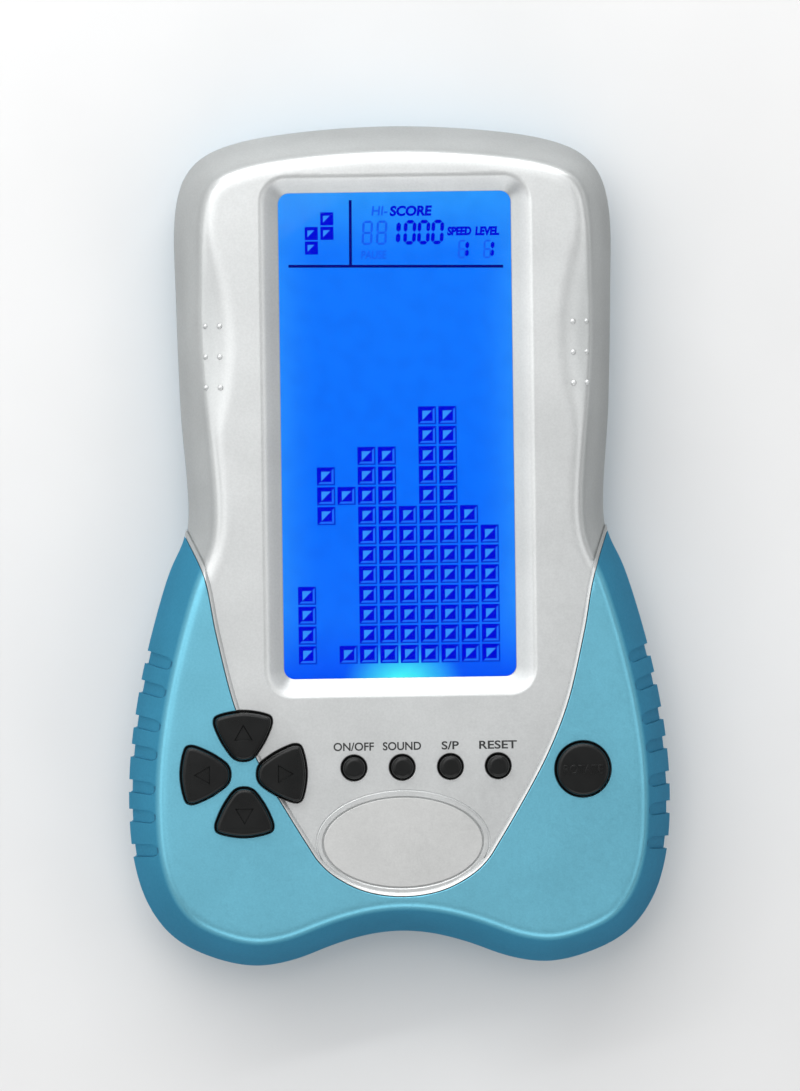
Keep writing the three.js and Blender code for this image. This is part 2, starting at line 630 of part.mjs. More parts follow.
const plate = (side, y0, y1) => {
  const [a, b] = [side * CONTACT_X, side * (CONTACT_X + 0.4)].sort((p, q) => p - q);
  return box(a, b, y0, y1, 3, 12);
};
const solderTab = (side, y) => {
  const [a, b] = [side * CONTACT_X, side * 29].sort((p, q) => p - q);
  return box(a, b, y - 1.5, y + 1.5, WIRE_HEIGHT - 0.2, WIRE_HEIGHT + 0.2);
};
const [cellA, cellB, cellC] = CELL.y;
add("contact_positive", join(plate(1, cellA - 4.5, cellA + 4.5), solderTab(1, cellA)), "steel");
add("contact_negative", join(plate(-1, cellC - 4.5, cellC + 4.5), solderTab(-1, cellC)), "steel");
add("contact_link_left", plate(-1, cellA - 4.5, cellB + 4.5), "steel");
add("contact_link_right", plate(1, cellB - 4.5, cellC + 4.5), "steel");

// ---------------------------------------------------------------- screws and wires

CASE_SCREWS.forEach(([x, y], i) => {
  const cross = join(
    box(x - 1.4, x + 1.4, y - 0.35, y + 0.35, 0, 2.1),
    box(x - 0.35, x + 0.35, y - 1.4, y + 1.4, 0, 2.1),
  );
  const { shank, head, tip } = CASE_SCREW;
  const body = join(
    turning(x, y, [[head - 0.5, 1.2], [head, 1.8], [head, 2.8]]),
    cylinder(x, y, shank, 2.7, tip),
  );
  add(`case_screw_${i + 1}`, cut(body, cross), "steel");
});
BOARD_SCREWS.forEach(([x, y], i) => {
  const head = cylinder(x, y, BOARD_SCREW.head, 13.2, underBoard - GAP);
  const shank = cylinder(x, y, BOARD_SCREW.shank, 14, BOARD_SCREW.tip);
  add(`board_screw_${i + 1}`, join(head, shank), "steel");
});

add(
  "battery_lead_red",
  wire(
    [[29.7, cellA, WIRE_HEIGHT], [31.5, cellA + 0.6, 10.3], [33.6, -62.6, 11.8], [34.2, -60.5, 14.2]],
    0.5,
    10,
  ),
  "redWire",
);
add(
  "battery_lead_black",
  wire(
    [[-29.7, cellC, WIRE_HEIGHT], [-31.5, cellC, 10.3], [-33.6, -44, 11.8], [-34.2, -46, 14.2]],
    0.5,
    10,
  ),
  "blackWire",
);
add(
  "buzzer_lead_red",
  wire([[5, 50, 5], [8, 53, 6.2], [12, 58, 10], [14, 60, 14.2]], 0.4, 10),
  "redWire",
);
add(
  "buzzer_lead_black",
  wire([[11.8, 49, 4.5], [14.5, 50.5, 6.8], [17, 53, 11], [18, 54, 14.2]], 0.4, 10),
  "blackWire",
);

export default game;
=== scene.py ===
from math import cos, pi, radians, sin

import bmesh
import bpy
import numpy as np
from mathutils import Matrix, Vector


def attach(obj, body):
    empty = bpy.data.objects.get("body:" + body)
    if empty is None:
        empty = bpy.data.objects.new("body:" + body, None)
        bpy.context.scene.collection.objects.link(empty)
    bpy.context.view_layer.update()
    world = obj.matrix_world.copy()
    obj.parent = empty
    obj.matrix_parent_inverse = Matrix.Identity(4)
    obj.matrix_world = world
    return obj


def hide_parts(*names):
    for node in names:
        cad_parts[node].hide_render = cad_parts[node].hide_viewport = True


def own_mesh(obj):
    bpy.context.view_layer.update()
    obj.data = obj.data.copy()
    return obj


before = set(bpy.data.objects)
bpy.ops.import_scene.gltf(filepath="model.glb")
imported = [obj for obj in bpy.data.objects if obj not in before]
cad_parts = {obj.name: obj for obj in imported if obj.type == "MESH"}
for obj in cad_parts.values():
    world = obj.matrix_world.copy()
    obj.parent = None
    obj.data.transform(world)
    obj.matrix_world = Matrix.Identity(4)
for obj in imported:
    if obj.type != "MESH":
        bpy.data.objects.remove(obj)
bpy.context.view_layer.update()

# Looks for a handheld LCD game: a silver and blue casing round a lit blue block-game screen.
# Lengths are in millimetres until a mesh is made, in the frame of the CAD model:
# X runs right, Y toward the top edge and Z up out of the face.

# -------- driving dimensions

MM = 0.001
BELOW, ABOVE = 10, 32  # heights that clear the front of the casing on both sides
SAME_POINT = 0.0005  # corners closer than this are one corner
FACE_Z = 27.6
BOOT_Z = 28.4
PARTING_Z = 14.15

# Right half of the casing outline, from the middle of the top edge to the middle of the bottom edge.
OUTLINE_HALF = [
    (0, 88), (18, 87.1), (32, 85), (39.6, 82.1), (43.6, 77.8), (45.6, 70), (45.6, 52), (45, 30),
    (43.9, 3), (47.1, -4), (50.3, -14), (52.9, -24), (54.9, -34), (56.2, -44), (56.6, -54),
    (55.8, -65), (53, -74.4), (47.6, -81.6), (39, -86), (30.5, -87.71), (22.3, -86.4),
    (14.6, -83.5), (7, -81.4), (0, -80.7),
]
# Right half of the seam between silver face and blue boot, from the bottom to beyond the side.
SEAM_HALF = [
    (0, -72.9), (8, -71.75), (14.4, -68.5), (17.7, -65.4), (20, -61.9), (25.9, -52), (30.7, -43),
    (34.8, -32.8), (38.5, -17.6), (40.8, -5.8), (44.4, 2.6), (46.5, 7),
]
SEAM_GAP = 0.07
# The silver edge that rises to the boot, as (height, distance from the gap).
RIM_PROFILE = [
    (BELOW, 0.78), (FACE_Z, 0.78), (27.85, 0.66), (28.05, 0.52), (28.25, 0.26), (28.36, 0.13),
    (BOOT_Z, 0.05), (29, 0),
]

# Wall profiles as (height, distance in from the outline), from low to high.
FRONT_PROFILE = [
    (PARTING_Z, 0), (19.5, 2.1), (24.4, 4.3), (26.5, 5.3), (27.25, 6.15), (27.53, 7.1),
    (FACE_Z, 8.2), (FACE_Z, 9),
]
BOOT_PROFILE = [
    (PARTING_Z, -0.3), (19.5, 1.8), (25, 4.15), (27.2, 5.2), (28, 5.8), (28.33, 6.6),
    (BOOT_Z, 7.7), (BOOT_Z, 8.4),
]
BOOT_LINING = [(13, 1), (PARTING_Z, 1.1), (24.5, 5.6), (25.8, 6.4), (26.6, 7.6), (26.8, 8.9)]
TRAY_PROFILE = [(PARTING_Z, 1.4), (24.4, 5.9), (25.6, 6.7), (26.3, 7.9), (26.5, 9.2)]
FRONT_CAVITY = [(13, 3.1), (PARTING_Z, 3.2), (21.5, 6.2), (24.75, 9.6)]
REAR_PROFILE = [(0, 4.2), (0.35, 3.2), (1.3, 2.3), (3.6, 1.4), (9, 0.5), (13.85, 0)]
REAR_CAVITY = [(2, 4.65), (9, 2.75), (14.5, 2.35)]
PAINTED_SHADE_TOP = (26.2, 28)  # heights over which the painted shade on the casing sides fades out into the face
# What is taken from the CAD casings: distance in from the outline, lowest and highest point.
FRONT_INSIDE = (4.7, 12, 24.7)
REAR_INSIDE = (4.9, 0.6, 14.5)

# Each finger scoop is a cone beside the casing that dips into its side over a length.
SCOOP = {"x": 94.5, "y": 43.5, "radius": 58.8, "slope": 0.48, "blend": 1.1}
SCOOP_FACE = {"inside": 6, "half_length": 36, "fade": 12, "least": 0.02, "rings": 12}
DOTS = {"x": (36.9, 39.8), "y": (46.8, 40.4, 34), "radius": 0.6, "height": 0.3, "sunk": 0.15}
RIBS = {"count": 7, "top": -22.4, "pitch": 6.77, "width": 2.7, "depth": 0.7, "reach": 4.9}

SCREEN_Y = 23.5
# The sloped surround of the screen as (height, width, length, corner radius).
SCREEN_SLOPE = [
    (23.9, 48.7, 101.6, 2.3), (25, 48.7, 101.6, 2.3), (25.2, 49.1, 101.9, 2.5),
    (27, 54.3, 106.7, 4.6), (27.3, 55.2, 107.5, 4.9), (27.48, 56, 108.2, 5.2),
    (27.58, 56.9, 109, 5.6), (27.61, 57.8, 109.9, 6), (29, 58, 110.1, 6.1),
]
LENS = {"width": 53.5, "length": 106.5, "corner": 3}

# The cross; centre: from its middle to a key's middle.
DPAD = {"x": -33.2, "y": -46.8, "centre": 8, "top": 30}
# Right half of one key opening of the cross, pointing up, from its inner tip to its outer edge.
PETAL_HALF = [
    (0, 2.6), (1.9, 3.1), (3.9, 5.5), (5.5, 8.5), (6.25, 10.8), (5.95, 12), (4.6, 12.65), (0, 13.35),
]
ARROW = [(-1.8, 7.2), (1.8, 7.2), (0, 10.3)]
ROTATE = {"x": 37.8, "y": -46.8, "radius": 5.95, "top": 29.8}
SMALL_KEYS = {
    "y": -45.9,
    "radius": 2.75,
    "top": 29.2,
    "x": {"on_off": -10.1, "sound": 0, "start_pause": 10.1, "reset": 20.1},
}
HOLE_FLOOR = 20
KEY_PLAY = 0.45
KEY_FLANGE = (23.5, 24.5)
KEY_STEM_Z = 20.4
MEMBRANE = {"base": 16.6, "sheet": 17.6, "dome": 20.1, "bore": 0.8}

LABEL = {"y": -41.45, "height": 1.75}
PRINT_THICKNESS = 0.03

BADGE = {"y": -61.6, "outer": (18.1, 10.85), "inner": (16.9, 9.65)}

DOOR = {"width": 55.4, "length": 38.4, "corner": 1.2, "y": -53.8}
SOUND_HOLES = {"y": 50, "ring": 5.5}
# Holes from the back as (radius, height), from low to high.
SOUND_HOLE = [(1.1, -1), (1.1, 0), (0.95, 0.1), (0.9, 0.3), (0.9, 4)]
SCREW_WELL = [(3.2, -1), (3.2, 0), (3, 0.12), (2.9, 0.35), (2.9, 3.1)]
SCREW_BORE = [(1.5, 2), (1.5, 10)]
CASE_SCREWS = [(-36.5, 74), (36.5, 74), (-36.5, 8), (36.5, 8), (-42, -73), (42, -73)]
CELL = {"radius": 5.25, "length": 44.5, "z": 7.5, "y": (-65, -53.8, -42.6), "shift": 2.25}


# -------- curves and loops

def curve_through(controls, closed=False, steps=24):
    """Dense points on a centripetal Catmull-Rom curve through the control points."""
    p = np.asarray(controls, float)
    if closed:
        p = np.vstack([p[-1], p, p[:2]])
    else:
        p = np.vstack([2 * p[0] - p[1], p, 2 * p[-1] - p[-2]])
    u = np.linspace(0, 1, steps, endpoint=False)[:, None]
    spans = []
    for a, b, c, d in zip(p, p[1:], p[2:], p[3:]):
        before, here, after = (np.linalg.norm(q) ** 0.5 for q in (b - a, c - b, d - c))
        start = ((b - a) / before - (c - a) / (before + here)) * here + c - b
        end = ((d - c) / after - (d - b) / (here + after)) * here + c - b
        spans.append(
            b + start * u + (3 * (c - b) - 2 * start - end) * u**2 + (2 * (b - c) + start + end) * u**3
        )
    if not closed:
        spans.append(p[-2:-1])
    return np.vstack(spans)


def respaced(points, count, closed=False):
    """The same curve in evenly spaced points."""
    path = np.vstack([points, points[:1]]) if closed else points
    along = np.concatenate([[0], np.cumsum(np.linalg.norm(np.diff(path, axis=0), axis=1))])
    at = np.linspace(0, along[-1], count, endpoint=not closed)
    return np.column_stack([np.interp(at, along, path[:, k]) for k in range(path.shape[1])])


def softened(loop, passes):
    for _ in range(passes):
        loop = (np.roll(loop, 1, 0) + 2 * loop + np.roll(loop, -1, 0)) / 4
    return loop


def whole_loop(half):
    """Control points of a whole loop, anticlockwise, from its right half."""
    upward = list(half) if half[0][1] < half[-1][1] else list(half)[::-1]
    return upward + [(-x, y) for x, y in upward[-2:0:-1]]


def inward(loop):
    """Unit directions into an anticlockwise loop at its points."""
    along = np.roll(loop, -1, 0) - np.roll(loop, 1, 0)
    normal = np.column_stack([-along[:, 1], along[:, 0]])
    return normal / np.linalg.norm(normal, axis=1)[:, None]


def inset(loop, distance):
    return loop + inward(loop) * np.reshape(distance, (-1, 1))


def circle(x, y, radius, sides=64):
    angle = np.linspace(0, 2 * pi, sides, endpoint=False)
    return np.column_stack([x + radius * np.cos(angle), y + radius * np.sin(angle)])


def ellipse(y, half_axes, sides=160):
    return circle(0, 0, 1, sides) * half_axes + (0, y)


def rounded_rect(width, height, corner, y=0, x=0, steps=14):
    quarters = []
    for k, (sx, sy) in enumerate([(1, 1), (-1, 1), (-1, -1), (1, -1)]):
        angle = np.linspace(k * pi / 2, (k + 1) * pi / 2, steps)
        middle = (x + sx * (width / 2 - corner), y + sy * (height / 2 - corner))
        quarters.append(np.column_stack([np.cos(angle), np.sin(angle)]) * corner + middle)
    return np.vstack(quarters)


def turned(points, quarter, x=0, y=0):
    """Points turned anticlockwise by quarter turns about the origin, then moved."""
    c, s = cos(quarter * pi / 2), sin(quarter * pi / 2)
    return np.asarray(points, float) @ np.array([[c, s], [-s, c]]) + (x, y)


def level(loop, z):
    """A flat loop as a ring of 3-D points at a height, or at a height for each point."""
    return np.column_stack([loop, np.broadcast_to(z, len(loop))])


def smooth_least(a, b, blend):
    """The lesser of two heights, rounded where they cross."""
    near = np.maximum(blend - np.abs(a - b), 0) / blend
    return np.minimum(a, b) - near**2 * blend / 4


# -------- meshes

def added(name, data):
    """A new object in the scene."""
    obj = bpy.data.objects.new(name, data)
    bpy.context.scene.collection.objects.link(obj)
    return obj


def make(name, points, faces):
    """A mesh object from points in millimetres."""
    mesh = bpy.data.meshes.new(name)
    mesh.from_pydata((np.asarray(points, float) * MM).tolist(), [], faces)
    mesh.validate()
    return added(name, mesh)


def loft(name, rings):
    """A closed solid over rings of equal count, from low to high and anticlockwise from above."""
    count = len(rings[0])
    faces = [list(range(count))[::-1]]
    for r in range(len(rings) - 1):
        for i in range(count):
            j = (i + 1) % count
            a, b = r * count, (r + 1) * count
            faces.append((a + i, a + j, b + j, b + i))
    top = (len(rings) - 1) * count
    faces.append(list(range(top, top + count)))
    return make(name, np.vstack(rings), faces)


def prism(name, loop, z0, z1):
    return loft(name, [level(loop, z0), level(loop, z1)])


def block(name, x0, x1, y0, y1, z0, z1):
    return prism(name, np.array([(x0, y0), (x1, y0), (x1, y1), (x0, y1)]), z0, z1)


def turning(name, x, y, stations, sides=64):
    """A solid of revolution about a vertical axis, from (radius, height) stations."""
    return loft(name, [level(circle(x, y, radius, sides), z) for radius, z in stations])


def tube(name, path, radius, sides=14):
    """A round wire along 3-D points, with no twist between its sections."""
    along = np.gradient(path, axis=0)
    along /= np.linalg.norm(along, axis=1)[:, None]
    side = np.cross(along[0], (0.3, 0.5, 0.8))
    angle = np.linspace(0, 2 * pi, sides, endpoint=False)[:, None]
    rings = []
    for point, forward in zip(path, along):
        side = side - forward * np.dot(side, forward)
        side /= np.linalg.norm(side)
        rings.append(point + radius * (np.cos(angle) * side + np.sin(angle) * np.cross(forward, side)))
    return loft(name, rings)


def evaluated_mesh(obj):
    """The object's shape with its modifiers applied, as a new mesh."""
    bpy.context.view_layer.update()
    evaluated = obj.evaluated_get(bpy.context.evaluated_depsgraph_get())
    return bpy.data.meshes.new_from_object(evaluated)


def combined(operation, obj, *tools):
    """Joins, cuts or intersects the object with each tool, which is used up."""
    for tool in tools:
        modifier = obj.modifiers.new("combine", "BOOLEAN")
        modifier.operation = operation
        modifier.solver = "MANIFOLD"
        modifier.object = tool
    mesh = evaluated_mesh(obj)
    obj.modifiers.clear()
    obj.data = mesh
    for tool in tools:
        bpy.data.objects.remove(tool)
    return obj


def cut(obj, *tools):
    return combined("DIFFERENCE", obj, *tools)


def join(obj, *tools):
    return combined("UNION", obj, *tools)


def common(obj, *tools):
    return combined("INTERSECT", obj, *tools)


def softened_edges(obj, width, segments=2, angle=35):
    """Rounds the object's sharp edges with a bevel of a width in millimetres."""
    bevel = obj.modifiers.new("soft edges", "BEVEL")
    bevel.width = width * MM
    bevel.segments = segments
    bevel.limit_method = "ANGLE"
    bevel.angle_limit = radians(angle)
    bevel.harden_normals = False
    return obj


def shaded(obj, angle=32):
    """Smooth shading that keeps real corners sharp and flat faces flat."""
    mesh = bmesh.new()
    mesh.from_mesh(obj.data)
    for edge in mesh.edges:
        edge.smooth = edge.calc_face_angle(0) < radians(angle)
    for face in mesh.faces:
        face.smooth = True
    mesh.to_mesh(obj.data)
    mesh.free()
    weighted = obj.modifiers.new("flat faces", "WEIGHTED_NORMAL")
    weighted.keep_sharp = True
    weighted.weight = 80
    return obj


def copy_of_cad(name, node):
    """A new object with a copy of a CAD node's mesh, its triangles joined at their corners."""
    solid = bmesh.new()
    solid.from_mesh(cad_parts[node].data)
    bmesh.ops.remove_doubles(solid, verts=solid.verts, dist=SAME_POINT * MM)
    mesh = bpy.data.meshes.new(name)
    solid.to_mesh(mesh)
    solid.free()
    return added(name, mesh)


def finished(obj, finish):
    """Gives an object one material in place of any it has."""
    obj.data.materials.clear()
    obj.data.materials.append(finish)


def place(obj, body, slot, finish, *stands_for):
    """Gives a piece its material and lets it ride on a body; the slot is not used."""
    finished(obj, finish)
    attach(obj, body)
    if stands_for:
        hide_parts(*stands_for)
    return obj


# -------- materials

def linear(r, g, b):
    """An 8-bit screen colour as the linear colour that Blender's nodes use."""
    channels = [c / 255 for c in (r, g, b)]
    return tuple(c / 12.92 if c <= 0.04045 else ((c + 0.055) / 1.055) ** 2.4 for c in channels) + (1,)


WHITE = (1, 1, 1, 1)
BACKLIT = (0, 0, 0.02, 1)  # what the display would look like with its lamp off


class Finish:
    """A Principled material with procedural detail laid out in object coordinates."""

    def __init__(self, name, roughness, **sockets):
        self.material = bpy.data.materials.new(name)
        self.material.use_nodes = True
        self.tree = self.material.node_tree
        self.shader = self.tree.nodes["Principled BSDF"]
        self.shader.inputs["Roughness"].default_value = roughness
        for socket, value in sockets.items():
            self.shader.inputs[socket.replace("_", " ")].default_value = value
        self.where = self.node("ShaderNodeTexCoord").outputs["Object"]
        self.last_bump = None

    def along(self, axis):
        """One object coordinate."""
        split = self.node("ShaderNodeSeparateXYZ")
        self.link(self.where, split.inputs["Vector"])
        return split.outputs[axis]

    def math(self, operation, a, b=0.0):
        """The result of an arithmetic operation on sockets or numbers."""
        made = self.node("ShaderNodeMath", operation=operation)
        for socket, value in zip(made.inputs, (a, b)):
            self.feed(socket, value)
        return made.outputs[0]

    def feed(self, socket, value):
        """Links a socket to another one, or sets it to a value."""
        if isinstance(value, bpy.types.NodeSocket):
            self.link(value, socket)
        else:
            socket.default_value = value

    def node(self, kind, **settings):
        made = self.tree.nodes.new(kind)
        for key, value in settings.items():
            setattr(made, key, value)
        return made

    def link(self, source, target):
        self.tree.links.new(source, target)

    def noise(self, size, detail=3, stretch=(1, 1, 1)):
        """Noise whose blotches are about a size in millimetres."""
        mapping = self.node("ShaderNodeMapping")
        mapping.inputs["Scale"].default_value = stretch
        self.link(self.where, mapping.inputs["Vector"])
        texture = self.node("ShaderNodeTexNoise")
        texture.inputs["Scale"].default_value = 1 / (size * MM)
        texture.inputs["Detail"].default_value = detail
        self.link(mapping.outputs["Vector"], texture.inputs["Vector"])
        return texture.outputs["Fac"]

    def ranged(self, factor, low, high, start=0.3, end=0.7):
        made = self.node("ShaderNodeMapRange")
        for socket, value in (("From Min", start), ("From Max", end), ("To Min", low), ("To Max", high)):
            made.inputs[socket].default_value = value
        self.link(factor, made.inputs["Value"])
        return made.outputs["Result"]

    def ramp(self, factor, *stops, interpolation="LINEAR"):
        """Colours along a factor, from (position, colour) stops."""
        made = self.node("ShaderNodeValToRGB")
        made.color_ramp.interpolation = interpolation
        elements = made.color_ramp.elements
        while len(elements) < len(stops):
            elements.new(0.5)
        for element, (position, color) in zip(elements, stops):
            element.position = position
            element.color = color
        self.link(factor, made.inputs["Fac"])
        return made.outputs["Color"]

    def mix(self, factor, a, b, blend="MIX"):
        """Two colours, as sockets or values, mixed by a factor socket or number."""
        made = self.node("ShaderNodeMix", data_type="RGBA", blend_type=blend)
        for socket, value in ((made.inputs[0], factor), (made.inputs[6], a), (made.inputs[7], b)):
            self.feed(socket, value)
        return made.outputs[2]

    def colored(self, source):
        self.link(source, self.shader.inputs["Base Color"])
        return self

    def gloss(self, size, low, high, detail=4):
        """Roughness that wanders between two values."""
        self.link(self.ranged(self.noise(size, detail), low, high), self.shader.inputs["Roughness"])
        return self

    def bumped(self, factor, height, strength=1.0):
        """Adds relief of a height in millimetres."""
        bump = self.node("ShaderNodeBump")
        bump.inputs["Strength"].default_value = strength
        bump.inputs["Distance"].default_value = height * MM
        self.link(factor, bump.inputs["Height"])
        if self.last_bump:
            self.link(self.last_bump, bump.inputs["Normal"])
        self.last_bump = bump.outputs["Normal"]
        self.link(self.last_bump, self.shader.inputs["Normal"])
        return self


def paint(name, dark, light, metallic, roughness, edge, painted_wall_shade=None):
    """Satin metallic paint with fine flake and orange peel; its sides below the face can carry a painted
    shade, darker toward the bottom.
    """
    f = Finish(name, roughness, Metallic=metallic, Specular_Tint=edge)
    flake = f.ramp(f.noise(0.45, 2), (0.3, linear(*dark)), (0.7, linear(*light)))
    cloud = f.ramp(f.noise(16, 3), (0.3, linear(244, 244, 244)), (0.7, WHITE))
    color = f.mix(1, flake, cloud, "MULTIPLY")
    # painted shade: the sides below the face are multiplied by a darker colour, standing in for the darker
    # reflections they pick up
    if painted_wall_shade:
        face = f.ranged(f.along("Z"), 0, 1, PAINTED_SHADE_TOP[0] * MM, PAINTED_SHADE_TOP[1] * MM)
        color = f.mix(1, color, f.ramp(face, (0, painted_wall_shade), (1, WHITE)), "MULTIPLY")
    f.colored(color)
    f.gloss(0.8, roughness - 0.03, roughness + 0.04)
    f.bumped(f.noise(0.4, 2), 0.002, 0.25)
    f.bumped(f.noise(2.2, 2), 0.005, 0.25)
    return f.material


def moulded(name, dark, light, roughness, grain=0.25, relief=0.012, shine=0.5):
    """Moulded plastic or rubber with a fine spark-eroded grain."""
    f = Finish(name, roughness, Specular_IOR_Level=shine)
    f.colored(f.ramp(f.noise(9, 4), (0.3, linear(*dark)), (0.7, linear(*light))))
    f.gloss(5, roughness - 0.05, roughness + 0.07)
    f.bumped(f.noise(grain, 3), relief, 0.6)
    return f.material


def metal(name, dark, light, roughness, brush=(1, 12, 1)):
    """Bare or plated metal with fine drawing lines and dull spots."""
    f = Finish(name, roughness, Metallic=1.0)
    f.colored(f.ramp(f.noise(1.8, 4), (0.3, linear(*dark)), (0.65, linear(*light))))
    f.gloss(0.9, roughness - 0.08, roughness + 0.12)
    f.bumped(f.noise(0.5, 3, brush), 0.006, 0.5)
    return f.material


def glowing(name, r, g, b):
    """A patch of the lit display: almost all of its light comes from behind."""
    f = Finish(name, 0.5, Base_Color=BACKLIT, Emission_Strength=1.0, Specular_IOR_Level=0.0)
    color = linear(r, g, b)
    shade = tuple(0.9 * c for c in color[:3]) + (1,)
    f.link(f.ramp(f.noise(1.2, 2), (0.3, shade), (0.7, color)), f.shader.inputs["Emission Color"])
    return f.material


def display_glass():
    """The lit panel: blue light, paler toward the edges, with the lamp's cyan pool at the bottom."""
    f = Finish("display_glass", 0.4, Base_Color=BACKLIT, Emission_Strength=1.0, Specular_IOR_Level=0.0)
    x, y = f.along("X"), f.along("Y")
    panel_low, panel_high = -31 * MM, 77 * MM
    base = f.ramp(
        f.ranged(y, 0, 1, panel_low, panel_high),
        (0, linear(2, 74, 246)), (0.14, linear(16, 112, 253)), (0.4, linear(8, 113, 254)),
        (0.86, linear(18, 122, 254)), (1, linear(48, 160, 252)),
    )
    beside = f.math("POWER", f.ranged(f.math("ABSOLUTE", x), 0, 1, 15 * MM, 25 * MM), 2)
    above = f.math("MULTIPLY", f.ranged(y, 0, 1, -27 * MM, -12 * MM), 0.8)
    base = f.mix(f.math("MULTIPLY", beside, above), base, linear(44, 148, 253))
    pool_x, pool_y, pool_width, pool_height = 0.7 * MM, -28.5 * MM, 9 * MM, 6.5 * MM
    across = f.math("DIVIDE", f.math("SUBTRACT", x, pool_x), pool_width)
    up = f.math("DIVIDE", f.math("SUBTRACT", y, pool_y), pool_height)
    square_reach = f.math("ADD", f.math("MULTIPLY", across, across), f.math("MULTIPLY", up, up))
    pool = f.ranged(f.math("POWER", f.math("SQRT", square_reach), 1.1), 1, 0, 0.15, 1.5)
    base = f.mix(f.math("POWER", pool, 1.4), base, linear(76, 255, 250))
    ghosts = f.ramp(f.noise(3.5, 4), (0.35, linear(244, 246, 250)), (0.6, WHITE))
    f.link(f.mix(1, base, ghosts, "MULTIPLY"), f.shader.inputs["Emission Color"])
    return f.material


def clear_plastic():
    f = Finish("clear_plastic", 0.02, Base_Color=(0.97, 0.98, 1, 1), Transmission_Weight=1.0, IOR=1.12)
    f.gloss(14, 0.01, 0.03)
    return f.material


def green_board():
    """Solder mask over straight copper tracks."""
    f = Finish("green_board", 0.35, Specular_IOR_Level=0.6)
    tracks = f.node("ShaderNodeTexBrick", offset=0.5, squash=1.0)
    for socket, value in (
        ("Scale", 220), ("Color1", linear(20, 84, 46)), ("Color2", linear(26, 98, 54)),
        ("Mortar", linear(52, 140, 82)), ("Mortar Size", 0.04),
    ):
        tracks.inputs[socket].default_value = value
    f.link(f.where, tracks.inputs["Vector"])
    f.colored(tracks.outputs["Color"])
    f.gloss(3, 0.28, 0.45)
    f.bumped(tracks.outputs["Fac"], 0.03, 0.5)
    return f.material


def battery_wrap():
    """A generic printed sleeve: green with a gold end band."""
    f = Finish("battery_wrap", 0.28, Metallic=0.35, Coat_Weight=0.3)
    green, gold = linear(38, 110, 72), linear(196, 160, 74)
    bands = f.ramp(
        f.ranged(f.along("X"), 0, 1, -24 * MM, 24 * MM),
        (0, green), (0.2, gold), (0.24, green), (0.76, gold), (0.8, green),
        interpolation="CONSTANT",
    )
    scuffs = f.ramp(f.noise(2.5, 5), (0.35, linear(225, 225, 225)), (0.6, WHITE))
    f.colored(f.mix(1, bands, scuffs, "MULTIPLY"))
    f.gloss(1.5, 0.2, 0.38)
    f.bumped(f.noise(0.8, 2), 0.006, 0.4)
    return f.material


def floor_paper():
    f = Finish("floor_paper", 0.8, Specular_IOR_Level=0.2)
    f.colored(f.ramp(f.noise(60, 3), (0.3, (0.65, 0.65, 0.65, 1)), (0.7, (0.68, 0.68, 0.68, 1))))
    f.bumped(f.noise(1.5, 3), 0.02, 0.2)
    return f.material


# the silver's side colour is painted shade that darkens its sides below the face
silver = paint(
    "silver_paint", (207, 209, 209), (214, 216, 216), 0.72, 0.38,
    edge=(0, 0, 0, 1), painted_wall_shade=(0.84, 0.85, 0.85, 1),
)
# the blue's side colour is painted shade that darkens and deepens its sides below the face
blue = paint(
    "blue_paint", (112, 184, 206), (119, 191, 213), 0.8, 0.4,
    edge=(0, 0, 0.05, 1), painted_wall_shade=(0.44, 0.68, 0.8, 1),
)
badge_foil = paint("badge_foil", (209, 210, 209), (215, 216, 215), 0.6, 0.34, edge=(0.2, 0.2, 0.2, 1))
rear_blue = moulded("rear_plastic", (59, 134, 164), (64, 141, 171), 0.5, 0.4, 0.02)
rubber = moulded("key_rubber", (13, 14, 14), (19, 20, 20), 0.29, 0.3, 0.003, 0.25)
membrane_rubber = moulded("membrane_rubber", (128, 134, 136), (150, 156, 158), 0.72)
black_plastic = moulded("black_plastic", (20, 21, 23), (30, 31, 33), 0.5)
elastomer = moulded("elastomer", (46, 48, 52), (66, 68, 72), 0.7, 0.12, 0.02)
white_film = moulded("white_film", (228, 231, 233), (244, 246, 247), 0.45, 0.6, 0.004)
guide_acrylic = moulded("guide_acrylic", (206, 222, 236), (224, 238, 248), 0.18, 1.2, 0.004)
led_resin = moulded("led_resin", (238, 232, 190), (248, 244, 214), 0.25, 0.6, 0.004)
epoxy = moulded("epoxy", (12, 12, 13), (22, 22, 24), 0.28, 1.4, 0.03)
resistor_coat = moulded("resistor_coat", (186, 150, 90), (206, 172, 112), 0.45)
capacitor_sleeve = moulded("capacitor_sleeve", (26, 40, 86), (38, 54, 108), 0.3)
ceramic = moulded("ceramic", (222, 216, 200), (238, 234, 222), 0.5, 0.2, 0.006)
steel = metal("steel", (150, 153, 156), (196, 199, 202), 0.3)
brass = metal("brass", (172, 132, 52), (214, 176, 92), 0.32)
red_sleeve = moulded("red_sleeve", (166, 28, 22), (190, 44, 34), 0.42, 0.5)
black_sleeve = moulded("black_sleeve", (18, 19, 20), (32, 33, 34), 0.42, 0.5)
print_ink = moulded("print_ink", (26, 27, 28), (38, 39, 40), 0.5, 0.3, 0.004)
segment_ink = glowing("segment_ink", 2, 12, 218)
rule_ink = glowing("rule_ink", 6, 6, 122)
line_light = glowing("line_light", 30, 112, 252)
rim_light = glowing("rim_light", 2, 58, 214)
facet_light = glowing("facet_light", 54, 150, 255)
ghost_ink = glowing("ghost_ink", 24, 98, 246)
clear = clear_plastic()
wrap = battery_wrap()

# -------- outlines shared by the casing pieces

